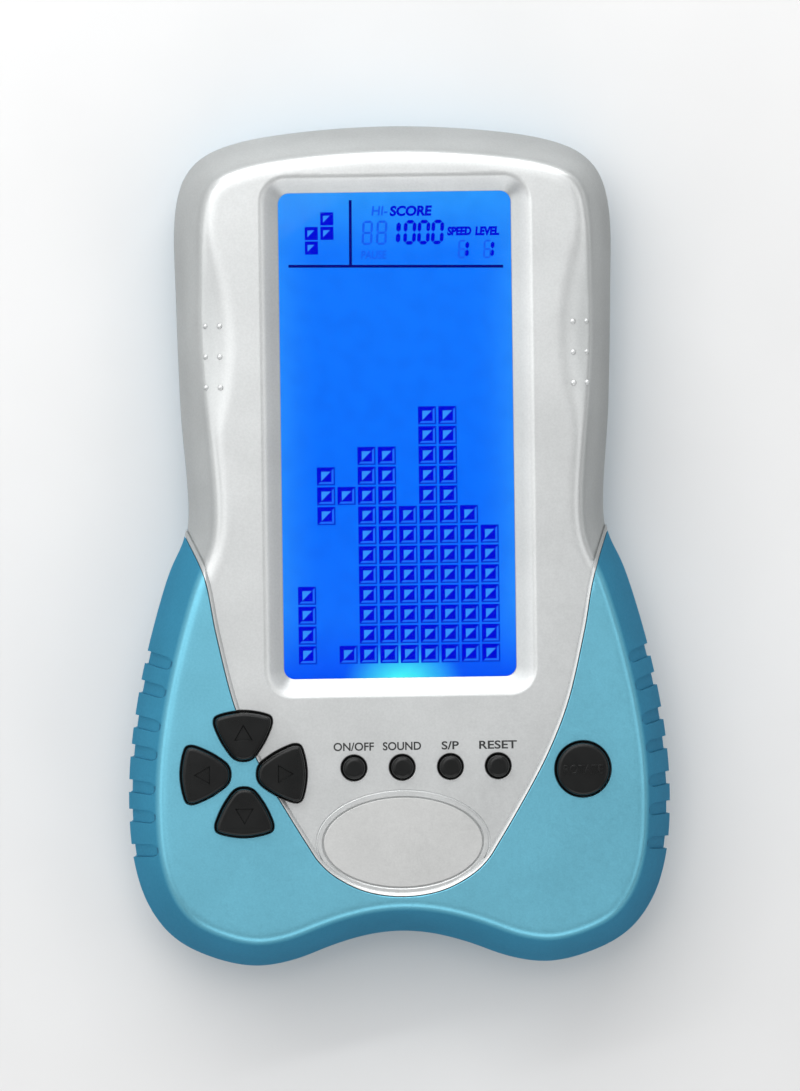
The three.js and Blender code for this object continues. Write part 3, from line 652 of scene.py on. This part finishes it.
OUTLINE_COUNT = 420
SEAM_COUNT = 220
outline = softened(respaced(curve_through(whole_loop(OUTLINE_HALF), True), OUTLINE_COUNT, True), 5)
seam = respaced(curve_through([(-x, y) for x, y in SEAM_HALF[:0:-1]] + SEAM_HALF), SEAM_COUNT)
petal = respaced(curve_through(whole_loop(PETAL_HALF), True), 96, True)


def seam_moved(distance):
    """The seam shifted toward the silver side."""
    along = np.gradient(seam, axis=0)
    normal = np.column_stack([-along[:, 1], along[:, 0]])
    return seam + distance * normal / np.linalg.norm(normal, axis=1)[:, None]


def silver_side(name, stations, reach=(60, 34.8, 100)):
    """Everything on the silver side of the seam, from (height, distance from the seam) stations."""
    x, y, top = reach
    corners = np.array([(x, y), (x, top), (-x, top), (-x, y)])
    return loft(name, [level(np.vstack([seam_moved(d), corners]), z) for z, d in stations])


def walls(name, profile, count=None):
    """A lofted solid inside the outline from a wall profile, smoothed to a count of rings."""
    stations = respaced(curve_through(profile), count) if count else profile
    return loft(name, [level(inset(outline, d), z) for z, d in stations])


def scoop_floor(x, y):
    """The height of the nearer scoop's cone over a point."""
    reach = np.hypot(SCOOP["x"] - np.abs(x), SCOOP["y"] - y)
    return FACE_Z - SCOOP["slope"] * (SCOOP["radius"] - reach)


def scooped_walls(name, profile, rings_up):
    """The silver shell, whose sides dip smoothly into two finger scoops."""
    stations = respaced(curve_through(profile), rings_up)
    from_scoop = np.abs(outline[:, 1] - SCOOP["y"])
    beside = np.clip((SCOOP_FACE["half_length"] - from_scoop) / SCOOP_FACE["fade"], 0, 1)
    beside = beside**2 * (3 - 2 * beside) + SCOOP_FACE["least"]
    top, top_inset = profile[-1]
    count = SCOOP_FACE["rings"]
    heights = [z for z, _ in stations] + [top] * count
    insets = [np.full(len(outline), d) for _, d in stations]
    insets += [top_inset + SCOOP_FACE["inside"] * beside * k / count for k in range(1, count + 1)]
    rings = []
    for z, d in zip(heights, insets):
        loop = inset(outline, d)
        floor = scoop_floor(loop[:, 0], loop[:, 1])
        rings.append(level(loop, smooth_least(np.full(len(loop), z), floor, SCOOP["blend"])))
    rings[-1][:, 2] = top
    return loft(name, rings)


def side_at(y):
    """Where the right side of the outline crosses a height, and the direction inward there."""
    right = np.where(outline[:, 0] > 40)[0]
    i = right[np.argmin(np.abs(outline[right, 1] - y))]
    return outline[i], inward(outline)[i]


def grip_pockets(name, z0, z1, core):
    """Slots down both sides that reach in as far as a core solid."""
    half = RIBS["width"] / 2
    tools = []
    for i in range(RIBS["count"]):
        middle, into = side_at(RIBS["top"] - RIBS["pitch"] * i)
        angle = np.linspace(-pi / 2, pi / 2, 9)
        end = np.column_stack([RIBS["reach"] - half + half * np.cos(angle), half * np.sin(angle)])
        slot = np.vstack([end, [(-3, half), (-3, -half)]])
        across = np.array([-into[1], into[0]])
        loop = middle + slot[:, :1] * into + slot[:, 1:] * across
        tools.append(prism(f"{name}_{i}", loop, z0, z1))
        tools.append(prism(f"{name}_{i}_left", (loop * (-1, 1))[::-1], z0, z1))
    first, *rest = tools
    return cut(join(first, *rest), core)


def opening(name, loop, face, lip=0.2):
    """A cutter for a key hole whose lip is rounded where it meets a face."""
    stations = [(HOLE_FLOOR, 0), (face - lip, 0)]
    for k in range(1, 5):
        angle = k * pi / 8
        stations.append((face - lip * (1 - sin(angle)), lip * (1 - cos(angle))))
    stations.append((face + 3, lip))
    return loft(name, [level(inset(loop, -d), z) for z, d in stations])


def on_cross(points, quarter):
    """Points drawn for the up key, turned to another key of the cross."""
    return turned(points, quarter, DPAD["x"], DPAD["y"])


pad_centres = [on_cross([(0, DPAD["centre"])], quarter)[0] for quarter in range(4)]
cross_holes = {name: on_cross(petal, q) for q, name in enumerate(("up", "left", "down", "right"))}
round_holes = {"rotate": circle(ROTATE["x"], ROTATE["y"], ROTATE["radius"], 96)}
small_holes = {
    name: circle(x, SMALL_KEYS["y"], SMALL_KEYS["radius"]) for name, x in SMALL_KEYS["x"].items()
}
key_holes = cross_holes | round_holes | small_holes


def openings(face):
    return [opening(f"hole_{name}", loop, face) for name, loop in key_holes.items()]


# -------- casing

def inner_detail(name, node, distance, z0, z1):
    """The bosses, walls and seats inside a CAD casing half, without its outer skin."""
    return common(copy_of_cad(name, node), prism("inside", inset(outline, distance), z0, z1))


def oval_loft(name, half_axes, stations):
    """A solid over ovals round the badge's middle, from (height, distance out) stations."""
    rings = [level(ellipse(BADGE["y"], [a + d for a in half_axes]), z) for z, d in stations]
    return loft(name, rings)


def elliptic_groove(name, half_axes, z, radius, sides=12):
    """A cutter for a round-bottomed groove along an ellipse."""
    loop = ellipse(BADGE["y"], half_axes)
    angle = np.linspace(0, 2 * pi, sides, endpoint=False)
    points, faces = [], []
    for i, ((x, y), out) in enumerate(zip(loop, -inward(loop))):
        here, there = i * sides, (i + 1) % len(loop) * sides
        for k, a in enumerate(angle):
            points.append((x + out[0] * cos(a) * radius, y + out[1] * cos(a) * radius, z + sin(a) * radius))
            after = (k + 1) % sides
            faces.append((here + k, there + k, there + after, here + after))
    return make(name, points, faces)


def front_casing():
    shell = scooped_walls("front_casing_shell", FRONT_PROFILE, 34)
    up_to_gap = [(BELOW, SEAM_GAP), (ABOVE, SEAM_GAP)]
    common(shell, silver_side("silver_region", up_to_gap))
    rim = common(walls("rim", BOOT_PROFILE, 44), silver_side("rim_region", up_to_gap))
    cut(rim, silver_side("rim_inside", [(z, SEAM_GAP + d) for z, d in RIM_PROFILE]))
    join(shell, rim, walls("tray", TRAY_PROFILE))
    groove = elliptic_groove("badge_groove", BADGE["outer"], FACE_Z + 0.04, 0.24)
    lip = 0.2
    stations = [(FACE_Z - 3 * lip, 0), (FACE_Z - lip, 0), (FACE_Z, lip), (ABOVE, lip)]
    seat = oval_loft("badge_seat", BADGE["inner"], stations)
    cut(shell, walls("front_cavity", FRONT_CAVITY), groove, seat)
    join(shell, inner_detail("front_inside", "front_casing", *FRONT_INSIDE))
    slope = [level(rounded_rect(w, h, r, SCREEN_Y), z) for z, w, h, r in SCREEN_SLOPE]
    cut(shell, loft("screen_slope", slope), *openings(FACE_Z))
    shaded(shell)
    return place(shell, "casing", "silver_shell", silver, "front_casing")


def scoop_dots():
    """Small raised grip dots in the finger scoops."""
    for i, x in enumerate((-DOTS["x"][1], -DOTS["x"][0], *DOTS["x"])):
        for j, y in enumerate(DOTS["y"]):
            base = scoop_floor(x, y) - DOTS["sunk"]
            rise = DOTS["sunk"] + DOTS["height"]
            angles = [k * pi / 14 for k in range(7)]
            stations = [(DOTS["radius"] * cos(a) + 0.01, base + rise * sin(a)) for a in angles]
            dot = turning(f"scoop_dot_{i}_{j}", x, y, stations, 24)
            place(shaded(dot, 60), "casing", "silver_shell", silver)


def grip_boot():
    boot = walls("grip_boot_shell", BOOT_PROFILE, 44)
    cut(boot, walls("boot_lining", BOOT_LINING))
    edge = [(BELOW, 0), (28.15, 0), (28.3, 0.06), (28.38, 0.16), (28.42, 0.3), (ABOVE, 0.3)]
    cut(boot, silver_side("boot_edge", [(z, -SEAM_GAP - d) for z, d in edge]))
    cut(boot, *openings(BOOT_Z))
    shrunk = [(z - 0.1, d + RIBS["depth"]) for z, d in respaced(curve_through(BOOT_PROFILE), 14)]
    core = walls("boot_core", [(13, 0.2)] + shrunk)
    cut(boot, grip_pockets("boot_grip", 12, 29, core))
    shaded(boot)
    return place(boot, "casing", "blue_shell", blue, "grip_boot")


def rear_casing():
    shell = walls("rear_casing_shell", REAR_PROFILE, 20)
    cut(shell, walls("rear_cavity", REAR_CAVITY))
    shrunk = [(z, d + RIBS["depth"]) for z, d in REAR_PROFILE[1:]]
    core = walls("rear_core", [(-1, 4.9), *shrunk, (15, RIBS["depth"])])
    cut(shell, grip_pockets("rear_grip", 4, 15, core))
    join(shell, inner_detail("rear_inside", "rear_casing", *REAR_INSIDE))
    wells = [turning(f"well_{i}", x, y, SCREW_WELL) for i, (x, y) in enumerate(CASE_SCREWS)]
    bores = [turning(f"bore_{i}", x, y, SCREW_BORE, 32) for i, (x, y) in enumerate(CASE_SCREWS)]
    ring = [(0, 0), *circle(0, 0, SOUND_HOLES["ring"], 6)]
    holes = [
        turning(f"hole_{i}", x, SOUND_HOLES["y"] + y, SOUND_HOLE, 32) for i, (x, y) in enumerate(ring)
    ]
    width, length, corner = DOOR["width"], DOOR["length"], DOOR["corner"]
    seat = loft("door_seat", [
        level(rounded_rect(width + 2 * gap, length + 2 * gap, corner + gap, DOOR["y"]), z)
        for z, gap in [(-1, 0.5), (0, 0.5), (0.12, 0.36), (0.35, 0.3), (2.1, 0.3)]
    ])
    bay = block("bay", -25.8, 25.8, -71.1, -36.5, 1, 11)
    thumb = block("thumb_space", -6, 6, -37.5, -32.9, -1, 8.5)
    cut(shell, *wells, *holes, *bores, seat, bay, thumb)
    shaded(shell)
    return place(shell, "casing", "rear_shell", rear_blue, "rear_casing")


def oval_badge():
    stations = [(27.3, -0.3), (27.4, -0.3), (27.47, -0.35), (27.5, -0.5)]
    plate = oval_loft("oval_badge_plate", BADGE["inner"], stations)
    return place(shaded(plate), "casing", "badge", badge_foil, "oval_badge")


def printed(name, text, middle, size, weight=0.02, lean=0, rounding=0):
    """A word as a thin mesh, centred on a point and fitted to a width, height and thickness."""
    font = bpy.data.curves.new(name, "FONT")
    font.body = text
    font.extrude = 0.02
    font.bevel_depth = rounding
    font.resolution_u = 6
    font.offset = weight
    font.shear = lean
    letters = added(name, font)
    mesh = evaluated_mesh(letters)
    bpy.data.objects.remove(letters)
    points = np.array([v.co for v in mesh.vertices])
    low, high = points.min(0), points.max(0)
    points = (points - (low + high) / 2) / (high - low) * size + middle
    mesh.vertices.foreach_set("co", (points * MM).astype(np.float32).ravel())
    return added(name, mesh)


def key_labels():
    """The printed function names above the small keys."""
    words = [("ON/OFF", 8.45), ("SOUND", 8), ("S/P", 3.6), ("RESET", 7.9)]
    for (name, x), (text, width) in zip(SMALL_KEYS["x"].items(), words):
        size = (width, LABEL["height"], PRINT_THICKNESS)
        label = printed(f"label_{name}", text, (x, LABEL["y"], FACE_Z + 0.005), size)
        place(label, "casing", "black_plastic", print_ink)


# -------- screen

GRID = {"y": -22.45, "pitch_x": 4.27, "pitch_y": 4.16}
# Lit columns of each row of the game, from the bottom up.
ROWS = ["0 2345 6789", "0 3456789", "0 3456789", "0 3456789", "3456789", "3456789", "3456789"]
ROWS += ["1 345678", "1234 67", "1 34 67", "34 67", "67", "67"]
CELL_SIZE = 3.8
CELL_LINE = (1.18, 1.6)  # inner and outer distance of a cell's pale line from its middle
CELL_RIM = (1.66, 1.9)
CELL_FACET = (-0.98, -0.98, 0.98, 0.98)  # its left, low, right and top edge from the cell's middle
PREVIEW = [(-14.05, 68.85), (-17.34, 65.82), (-14.05, 65.82), (-17.34, 62.8)]
PREVIEW_SIZE = 2.75
PREVIEW_FACET = (-0.8, -0.75, 0.6, 0.65)
INK_Z = 22.02  # display marks lie just above the panel
LIGHT_Z = INK_Z + 0.04


def plates(name, loops, z, thickness=0.03):
    """Many thin flat plates in one mesh."""
    points, faces = [], []
    for loop in loops:
        n, base = len(loop), len(points)
        points += [(x, y, z) for x, y in loop] + [(x, y, z + thickness) for x, y in loop]
        faces.append([base + i for i in range(n)][::-1])
        faces.append([base + n + i for i in range(n)])
        faces += [(base + i, base + (i + 1) % n, base + n + (i + 1) % n, base + n + i) for i in range(n)]
    return make(name, points, faces)


def square(x, y, size):
    h = size / 2
    return [(x - h, y - h), (x + h, y - h), (x + h, y + h), (x - h, y + h)]


def corner_line(x, y, inner, outer):
    """A line along the lower and right sides of a cell."""
    near = [(x - outer, y - outer), (x + outer, y - outer), (x + outer, y + outer)]
    return near + [(x + inner, y + inner), (x + inner, y - inner), (x - inner, y - inner)]


def facet(x, y, left, low, right, top):
    """The upper left half of a rectangle round a cell's middle."""
    return [(x + left, y + low), (x + right, y + top), (x + left, y + top)]


def marks(name, loops, finish, z=INK_Z):
    """Flat marks on the display."""
    place(plates(name, loops, z), "casing", "lcd", finish)


def lit_cells():
    """The game's lit squares: dark with pale lines and a split diamond-cut middle."""
    centres = [
        ((int(column) - 4.5) * GRID["pitch_x"], GRID["y"] + row * GRID["pitch_y"])
        for row, columns in enumerate(ROWS)
        for column in columns.replace(" ", "")
    ]
    marks("cell_squares", [square(x, y, CELL_SIZE) for x, y in centres], segment_ink)
    marks("cell_rims", [corner_line(x, y, *CELL_RIM) for x, y in centres], rim_light, LIGHT_Z)
    marks("cell_lines", [corner_line(x, y, *CELL_LINE) for x, y in centres], line_light, LIGHT_Z)
    marks("cell_facets", [facet(x, y, *CELL_FACET) for x, y in centres], facet_light, LIGHT_Z)


def preview_cells():
    marks("preview_squares", [square(x, y, PREVIEW_SIZE) for x, y in PREVIEW], segment_ink)
    marks("preview_facets", [facet(x, y, *PREVIEW_FACET) for x, y in PREVIEW], facet_light, LIGHT_Z)


# Seven-segment strokes on a unit cell, each from one end to the other.
SEGMENTS = {
    "a": ((0, 2), (1, 2)), "b": ((1, 2), (1, 1)), "c": ((1, 1), (1, 0)), "d": ((0, 0), (1, 0)),
    "e": ((0, 1), (0, 0)), "f": ((0, 2), (0, 1)), "g": ((0, 1), (1, 1)),
}
DIGITS = {"0": "abcdef", "1": "bc", "6": "acdefg", "8": "abcdefg"}


def digit(value, x, y, width, height, stroke):
    """The segments of one digit as six-sided bars, centred on a point and leaning right."""
    bars = []
    for name in DIGITS[value]:
        ends = [np.array(((u - 0.5) * width, (v / 2 - 0.5) * height)) for u, v in SEGMENTS[name]]
        along = (ends[1] - ends[0]) / np.linalg.norm(ends[1] - ends[0])
        side = np.array([-along[1], along[0]]) * stroke / 2
        gap, taper = along * stroke * 0.1, along * stroke * 0.5
        a, b = ends[0] + gap, ends[1] - gap
        loop = [a, a + taper - side, b - taper - side, b, b - taper + side, a + taper + side]
        bars.append([(x + p[0] + 0.06 * p[1], y + p[1]) for p in loop])
    return bars


def display_marks():
    """Rules, words and digits along the top of the display."""
    rules = [
        [(-22.2, 58.75), (22.75, 58.15), (22.75, 58.75), (-22.2, 59.35)],
        [(-9.5, 58.8), (-8.9, 58.8), (-8.8, 72.7), (-9.4, 72.7)],
    ]
    marks("display_rules", rules, rule_ink)
    digits = digit("1", 0.1, 65.8, 1.6, 4.5, 0.95)
    for x in (3.3, 6.2, 9.1):
        digits += digit("0", x, 65.8, 1.85, 4.4, 0.78)
    digits += digit("1", 14.6, 62.15, 1.3, 3.3, 0.8) + digit("1", 19.9, 62.1, 1.3, 3.3, 0.8)
    marks("display_digits", digits, segment_ink)
    ghosts = []
    for x in (-5.6, -2.6):
        ghosts += digit("8", x, 65.8, 1.75, 4.6, 0.5)
    ghosts += digit("6", 14.2, 62.15, 1.3, 3.5, 0.4) + digit("6", 19.5, 62.1, 1.3, 3.5, 0.4)
    marks("display_ghost_digits", ghosts, ghost_ink)
    words = [
        ("word_score", "SCORE", (3.56, 70.3), (8.9, 2.2), 0.045, segment_ink),
        ("word_speed", "SPEED", (13.65, 65.95), (5.1, 1.9), 0.06, segment_ink),
        ("word_level", "LEVEL", (19.5, 65.9), (5.1, 1.9), 0.06, segment_ink),
        ("word_hi", "HI-", (-3, 70.4), (3.4, 2), 0.02, ghost_ink),
        ("word_pause", "PAUSE", (-4.3, 61.2), (5.4, 1.8), 0.02, ghost_ink),
    ]
    for name, text, middle, size, weight, ink in words:
        middle, size = (*middle, INK_Z + PRINT_THICKNESS / 2), (*size, PRINT_THICKNESS)
        place(printed(name, text, middle, size, weight, lean=0.12), "casing", "lcd", ink)


def screen_lens():
    stations = [(22.3, 0.15), (22.42, 0), (23.58, 0), (23.7, 0.15)]
    width, length, corner = LENS["width"], LENS["length"], LENS["corner"]
    rings = [
        level(rounded_rect(width - 2 * d, length - 2 * d, corner - d, SCREEN_Y), z) for z, d in stations
    ]
    return place(shaded(loft("screen_lens_plate", rings)), "casing", "clear_window", clear, "screen_lens")


# -------- keys and membranes

def crown(loop, top, fall):
    """Rings that round a key's cap over from its side to its top."""
    rings = []
    for k in range(9):
        angle = k * pi / 16
        rings.append(level(inset(loop, fall * (1 - cos(angle))), top - fall * (1 - sin(angle))))
    return rings


def key(name, loop, middle, top, fall, stem, marks=()):
    """A rubber key: domed cap, retaining flange and the stem that presses its membrane."""
    cap_loop = inset(loop, KEY_PLAY)
    rings = [level(cap_loop, KEY_FLANGE[1] - 0.1)] + crown(cap_loop, top, fall)
    cap = loft(f"key_{name}_cap", rings)
    flange = prism("flange", inset(loop, -0.25), *KEY_FLANGE)
    chamfer = 0.15
    stations = [(stem - chamfer, KEY_STEM_Z), (stem, KEY_STEM_Z + chamfer), (stem, KEY_FLANGE[0] + 0.1)]
    join(cap, flange, turning("post", *middle, stations))
    if marks:
        cut(cap, *marks)
    shaded(cap, 40)
    return place(cap, f"{name}_button", "key_rubber", rubber, f"key_{name}")


def engraved(loop, top, depth=0.32, lip=0.12):
    """A cutter whose walls slope out a little at the surface."""
    loop = np.asarray(loop, float)
    middle = loop.mean(0)
    stations = [(top - depth, 0.9), (top - lip, 1), (top, 1.1), (top + 0.5, 1.3)]
    return loft("engraving", [level(middle + (loop - middle) * s, z) for z, s in stations])


def rotate_word():
    """The rotate key's raised function word, in the rubber of the key."""
    middle = (ROTATE["x"], ROTATE["y"], ROTATE["top"] + 0.05)
    word = printed("key_rotate_word", "ROTATE", middle, (8.3, 1.95, 0.28), -0.02, rounding=0.05)
    place(shaded(word, 60), "rotate_button", "key_rubber", rubber)


def keys():
    for quarter, (name, loop) in enumerate(cross_holes.items()):
        arrow = engraved(on_cross(ARROW, quarter), DPAD["top"])
        key(name, loop, pad_centres[quarter], DPAD["top"], 0.75, 2, [arrow])
    key("rotate", round_holes["rotate"], (ROTATE["x"], ROTATE["y"]), ROTATE["top"], 0.85, 3)
    rotate_word()
    for name, loop in small_holes.items():
        middle = (SMALL_KEYS["x"][name], SMALL_KEYS["y"])
        key(name, loop, middle, SMALL_KEYS["top"], 0.9, 1.4)


def dome(name, x, y, radius):
    """A hollow rubber dome, built at rest; nothing here makes it flatten as its key goes down."""
    base, top = MEMBRANE["sheet"], MEMBRANE["dome"]
    skirt = [(radius, base), (radius * 0.97, base + 0.2), (radius * 0.74, top - 0.35)]
    crest = [(radius * 0.7, top - 0.1), (radius * 0.64, top)]
    outside = turning(f"membrane_dome_{name}", x, y, skirt + crest, 40)
    bore = MEMBRANE["bore"] * radius
    cut(outside, turning("hollow", x, y, [(bore, base - 1), (bore, base), (0.5 * radius, top - 1)], 40))
    place(shaded(outside, 50), "casing", "membrane", membrane_rubber)
    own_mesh(outside)


def membrane(name, loop, centres, radius):
    """A rubber sheet with a dome over a hole under each key, from the keys' names and middles."""
    sheet = prism(f"{name}_sheet", loop, MEMBRANE["base"], MEMBRANE["sheet"])
    bore = MEMBRANE["bore"] * radius
    cut(sheet, *[turning("under", x, y, [(bore, 16), (bore, 18)], 40) for x, y in centres.values()])
    softened_edges(sheet, 0.12)
    place(sheet, "casing", "membrane", membrane_rubber, f"{name}_membrane")
    for key_name, (x, y) in centres.items():
        dome(key_name, x, y, radius)


def membranes():
    disc = circle(DPAD["x"], DPAD["y"], 12.8, 96)
    disc = np.column_stack([disc[:, 0], np.minimum(disc[:, 1], -34.4)])
    membrane("dpad", disc, dict(zip(cross_holes, pad_centres)), 3.4)
    middle = (ROTATE["x"], ROTATE["y"])
    membrane("rotate", circle(*middle, 8.2, 80), {"rotate": middle}, 5)
    small = {name: (x, SMALL_KEYS["y"]) for name, x in SMALL_KEYS["x"].items()}
    membrane("function", rounded_rect(39, 7.8, 2, -46.1, 5), small, 2.9)


# -------- batteries, screws and wires

def lying(obj):
    """Turns a piece built round the vertical axis to lie along X."""
    for v in obj.data.vertices:
        x, y, z = v.co
        v.co = (z, y, -x)
    return obj


def battery(number, y, side):
    """An AAA cell: printed sleeve, crimped steel ends and a contact nub on one end."""
    half, radius = CELL["length"] / 2, CELL["radius"]
    body = [
        (radius - 0.3, -half + 0.4), (radius, -half + 0.8), (radius, half - 2), (radius - 0.25, half - 1.5),
    ]
    ends = [
        (radius - 1.6, -half), (radius - 0.5, -half + 0.1), (radius - 0.25, -half + 0.45),
        (radius - 0.35, half - 1.55), (radius - 0.8, half - 1.25), (2.1, half - 1.2),
        (1.9, half - 1.1), (1.9, half - 0.2), (1.6, half),
    ]
    for part, stations, slot, finish, nodes in (
        ("sleeve", body, "battery_jacket", wrap, [f"battery_{number}"]),
        ("can", ends, "steel", steel, []),
    ):
        obj = lying(turning(f"battery_{number}_{part}", 0, 0, stations))
        middle = -side * CELL["shift"]
        for v in obj.data.vertices:
            along = -side * v.co.x / MM
            v.co = ((along + middle) * MM, v.co.y + y * MM, v.co.z + CELL["z"] * MM)
        if side > 0:
            obj.data.flip_normals()
        place(shaded(obj), "casing", slot, finish, *nodes)


def battery_spring(number, y, side):
    radius, wire, turns, length, contact, plate = 3.2, 0.35, 4, 4.2, 25.1, 0.3
    angle = np.linspace(0, 2 * pi * turns, 40 * turns)
    along = contact - plate - wire - length * angle / angle[-1]
    path = np.column_stack([side * along, y + radius * np.cos(angle), CELL["z"] + radius * np.sin(angle)])
    coil = tube(f"battery_spring_{number}_coil", path, wire, 10)
    place(shaded(coil, 60), "casing", "steel", steel, f"battery_spring_{number}")


def case_screw(number, x, y):
    """A pan-head screw with a cross recess, seen from the back."""
    stations = [
        (1.2, 1.2), (1.9, 1.28), (2.3, 1.5), (2.5, 1.8), (2.5, 2.7), (2.45, 2.8),
        (1.2, 2.82), (1.2, 19.5), (0.5, 21),
    ]
    screw = turning(f"case_screw_{number}_pan", x, y, stations, 48)
    for quarter in range(2):
        rings = []
        for half_length, half_width, z in ((1.4, 0.28, 0.5), (1.4, 0.28, 1.2), (0.9, 0.2, 2.2)):
            corners = np.array([(-1, -1), (1, -1), (1, 1), (-1, 1)]) * (half_length, half_width)
            rings.append(level(turned(corners, quarter, x, y), z))
        cut(screw, loft("recess", rings))
    place(shaded(screw), "casing", "steel", steel, f"case_screw_{number}")


# The leads' routes, from the battery contacts and the buzzer up to the board.
LEADS = {
    "battery_lead_red": [(29.7, -65, 10.6), (31.5, -64.4, 10.3), (33.6, -62.6, 11.8), (34.2, -60.5, 14.2)],
    "battery_lead_black": [
        (-29.7, -42.6, 10.6), (-31.5, -42.6, 10.3), (-33.6, -44, 11.8), (-34.2, -46, 14.2),
    ],
    "buzzer_lead_red": [(5, 50, 5), (8, 53, 6.2), (12, 58, 10), (14, 60, 14.2)],
    "buzzer_lead_black": [(11.8, 49, 4.5), (14.5, 50.5, 6.8), (17, 53, 11), (18, 54, 14.2)],
}


def leads():
    for name, points in LEADS.items():
        radius = 0.5 if name.startswith("battery") else 0.4
        wire = tube(f"{name}_wire", respaced(curve_through(points), 40), radius)
        slot, finish = ("red_wire", red_sleeve) if name.endswith("red") else ("black_wire", black_sleeve)
        place(shaded(wire, 60), "casing", slot, finish, name)


def kept_nodes():
    """Materials and softened edges for the CAD nodes that keep their shape."""
    for finish, edge, nodes in (
        (guide_acrylic, 0.2, ["light_guide"]),
        (white_film, 0.05, ["reflector_sheet"]),
        (led_resin, 0.2, ["backlight_led"]),
        (elastomer, 0.15, ["elastomer_connector"]),
        (black_plastic, 0.2, ["lcd_holder_frame"]),
        (green_board(), 0.1, ["main_board"]),
        (epoxy, 0.6, ["chip_blob"]),
        (capacitor_sleeve, 0.25, ["capacitor"]),
        (resistor_coat, 0.1, ["resistor_1", "resistor_2"]),
        (brass, 0.05, ["piezo_disc"]),
        (ceramic, 0.05, ["piezo_ceramic"]),
        (steel, 0.08, ["contact_positive", "contact_negative", "contact_link_left", "contact_link_right"]),
        (steel, 0.2, [f"board_screw_{i}" for i in range(1, 5)]),
        (display_glass(), 0.1, ["lcd_panel"]),
        (rear_blue, 0.2, ["battery_door"]),
    ):
        for node in nodes:
            finished(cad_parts[node], finish)
            softened_edges(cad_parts[node], edge)


# -------- stage, light and camera

def floor():
    size, just_under = 3000, -0.02
    plane = make("floor", [(x, y, just_under) for x, y in square(0, 0, size)], [(0, 1, 2, 3)])
    plane.data.materials.append(floor_paper())


def softbox(name, position, size, radiance):
    """A rectangular light aimed at the game, of a given surface brightness."""
    light = bpy.data.lights.new(name, "AREA")
    light.shape = "RECTANGLE"
    light.size, light.size_y = size
    light.energy = radiance * pi * size[0] * size[1]
    obj = added(name, light)
    obj.location = position
    obj.rotation_euler = (Vector((0, 0, 0.02)) - Vector(position)).to_track_quat("-Z", "Y").to_euler()
    obj.visible_camera = False


def studio():
    softbox("overhead_light", (-0.17, 0.25, 0.6), (0.54, 0.58), 1.85)
    softbox("top_light", (-0.05, 0.6, 0.34), (0.9, 0.6), 1.25)
    softbox("low_top_light", (0, 0.7, 0.1), (0.8, 0.18), 5)
    softbox("top_strip", (-0.1, 0.42, 0.52), (0.7, 0.03), 12)
    softbox("left_light", (-0.58, 0.1, 0.34), (0.8, 0.48), 1.15)
    softbox("right_light", (0.5, 0.05, 0.46), (0.7, 0.4), 0.9)
    softbox("bottom_light", (0.05, -0.6, 0.3), (0.8, 0.5), 1.3)
    world = bpy.data.worlds.new("studio")
    world.use_nodes = True
    world.node_tree.nodes["Background"].inputs["Color"].default_value = (1, 1, 1, 1)
    world.node_tree.nodes["Background"].inputs["Strength"].default_value = 0.4
    bpy.context.scene.world = world
    bpy.context.scene.view_settings.view_transform = "Standard"


def camera():
    """Straight above the face, leaning a little to the left and to the top, far off with a long lens."""
    distance, sensor, view_height = 2.5, 24, 229.1
    target = Vector((0.735, 0, 14.5)) * MM
    toward = Vector((-0.0458, 0.038, 1)).normalized()
    up = Vector((0.0131, 1, 0))
    data = bpy.data.cameras.new("camera")
    data.sensor_fit = "VERTICAL"
    data.sensor_height = sensor
    data.lens = sensor * distance / (view_height * MM)
    obj = added("camera", data)
    right = up.cross(toward).normalized()
    true_up = toward.cross(right)
    turn = Matrix((right, true_up, toward)).transposed().to_4x4()
    obj.matrix_world = Matrix.Translation(target + toward * distance) @ turn
    bpy.context.scene.camera = obj


camera()
studio()
floor()
front_casing()
scoop_dots()
grip_boot()
rear_casing()
oval_badge()
key_labels()
kept_nodes()
screen_lens()
lit_cells()
preview_cells()
display_marks()
keys()
membranes()
for index, (cell_y, spring_side) in enumerate(zip(CELL["y"], (-1, 1, -1)), 1):
    battery(index, cell_y, spring_side)
    battery_spring(index, cell_y, spring_side)
for index, (screw_x, screw_y) in enumerate(CASE_SCREWS, 1):
    case_screw(index, screw_x, screw_y)
leads()
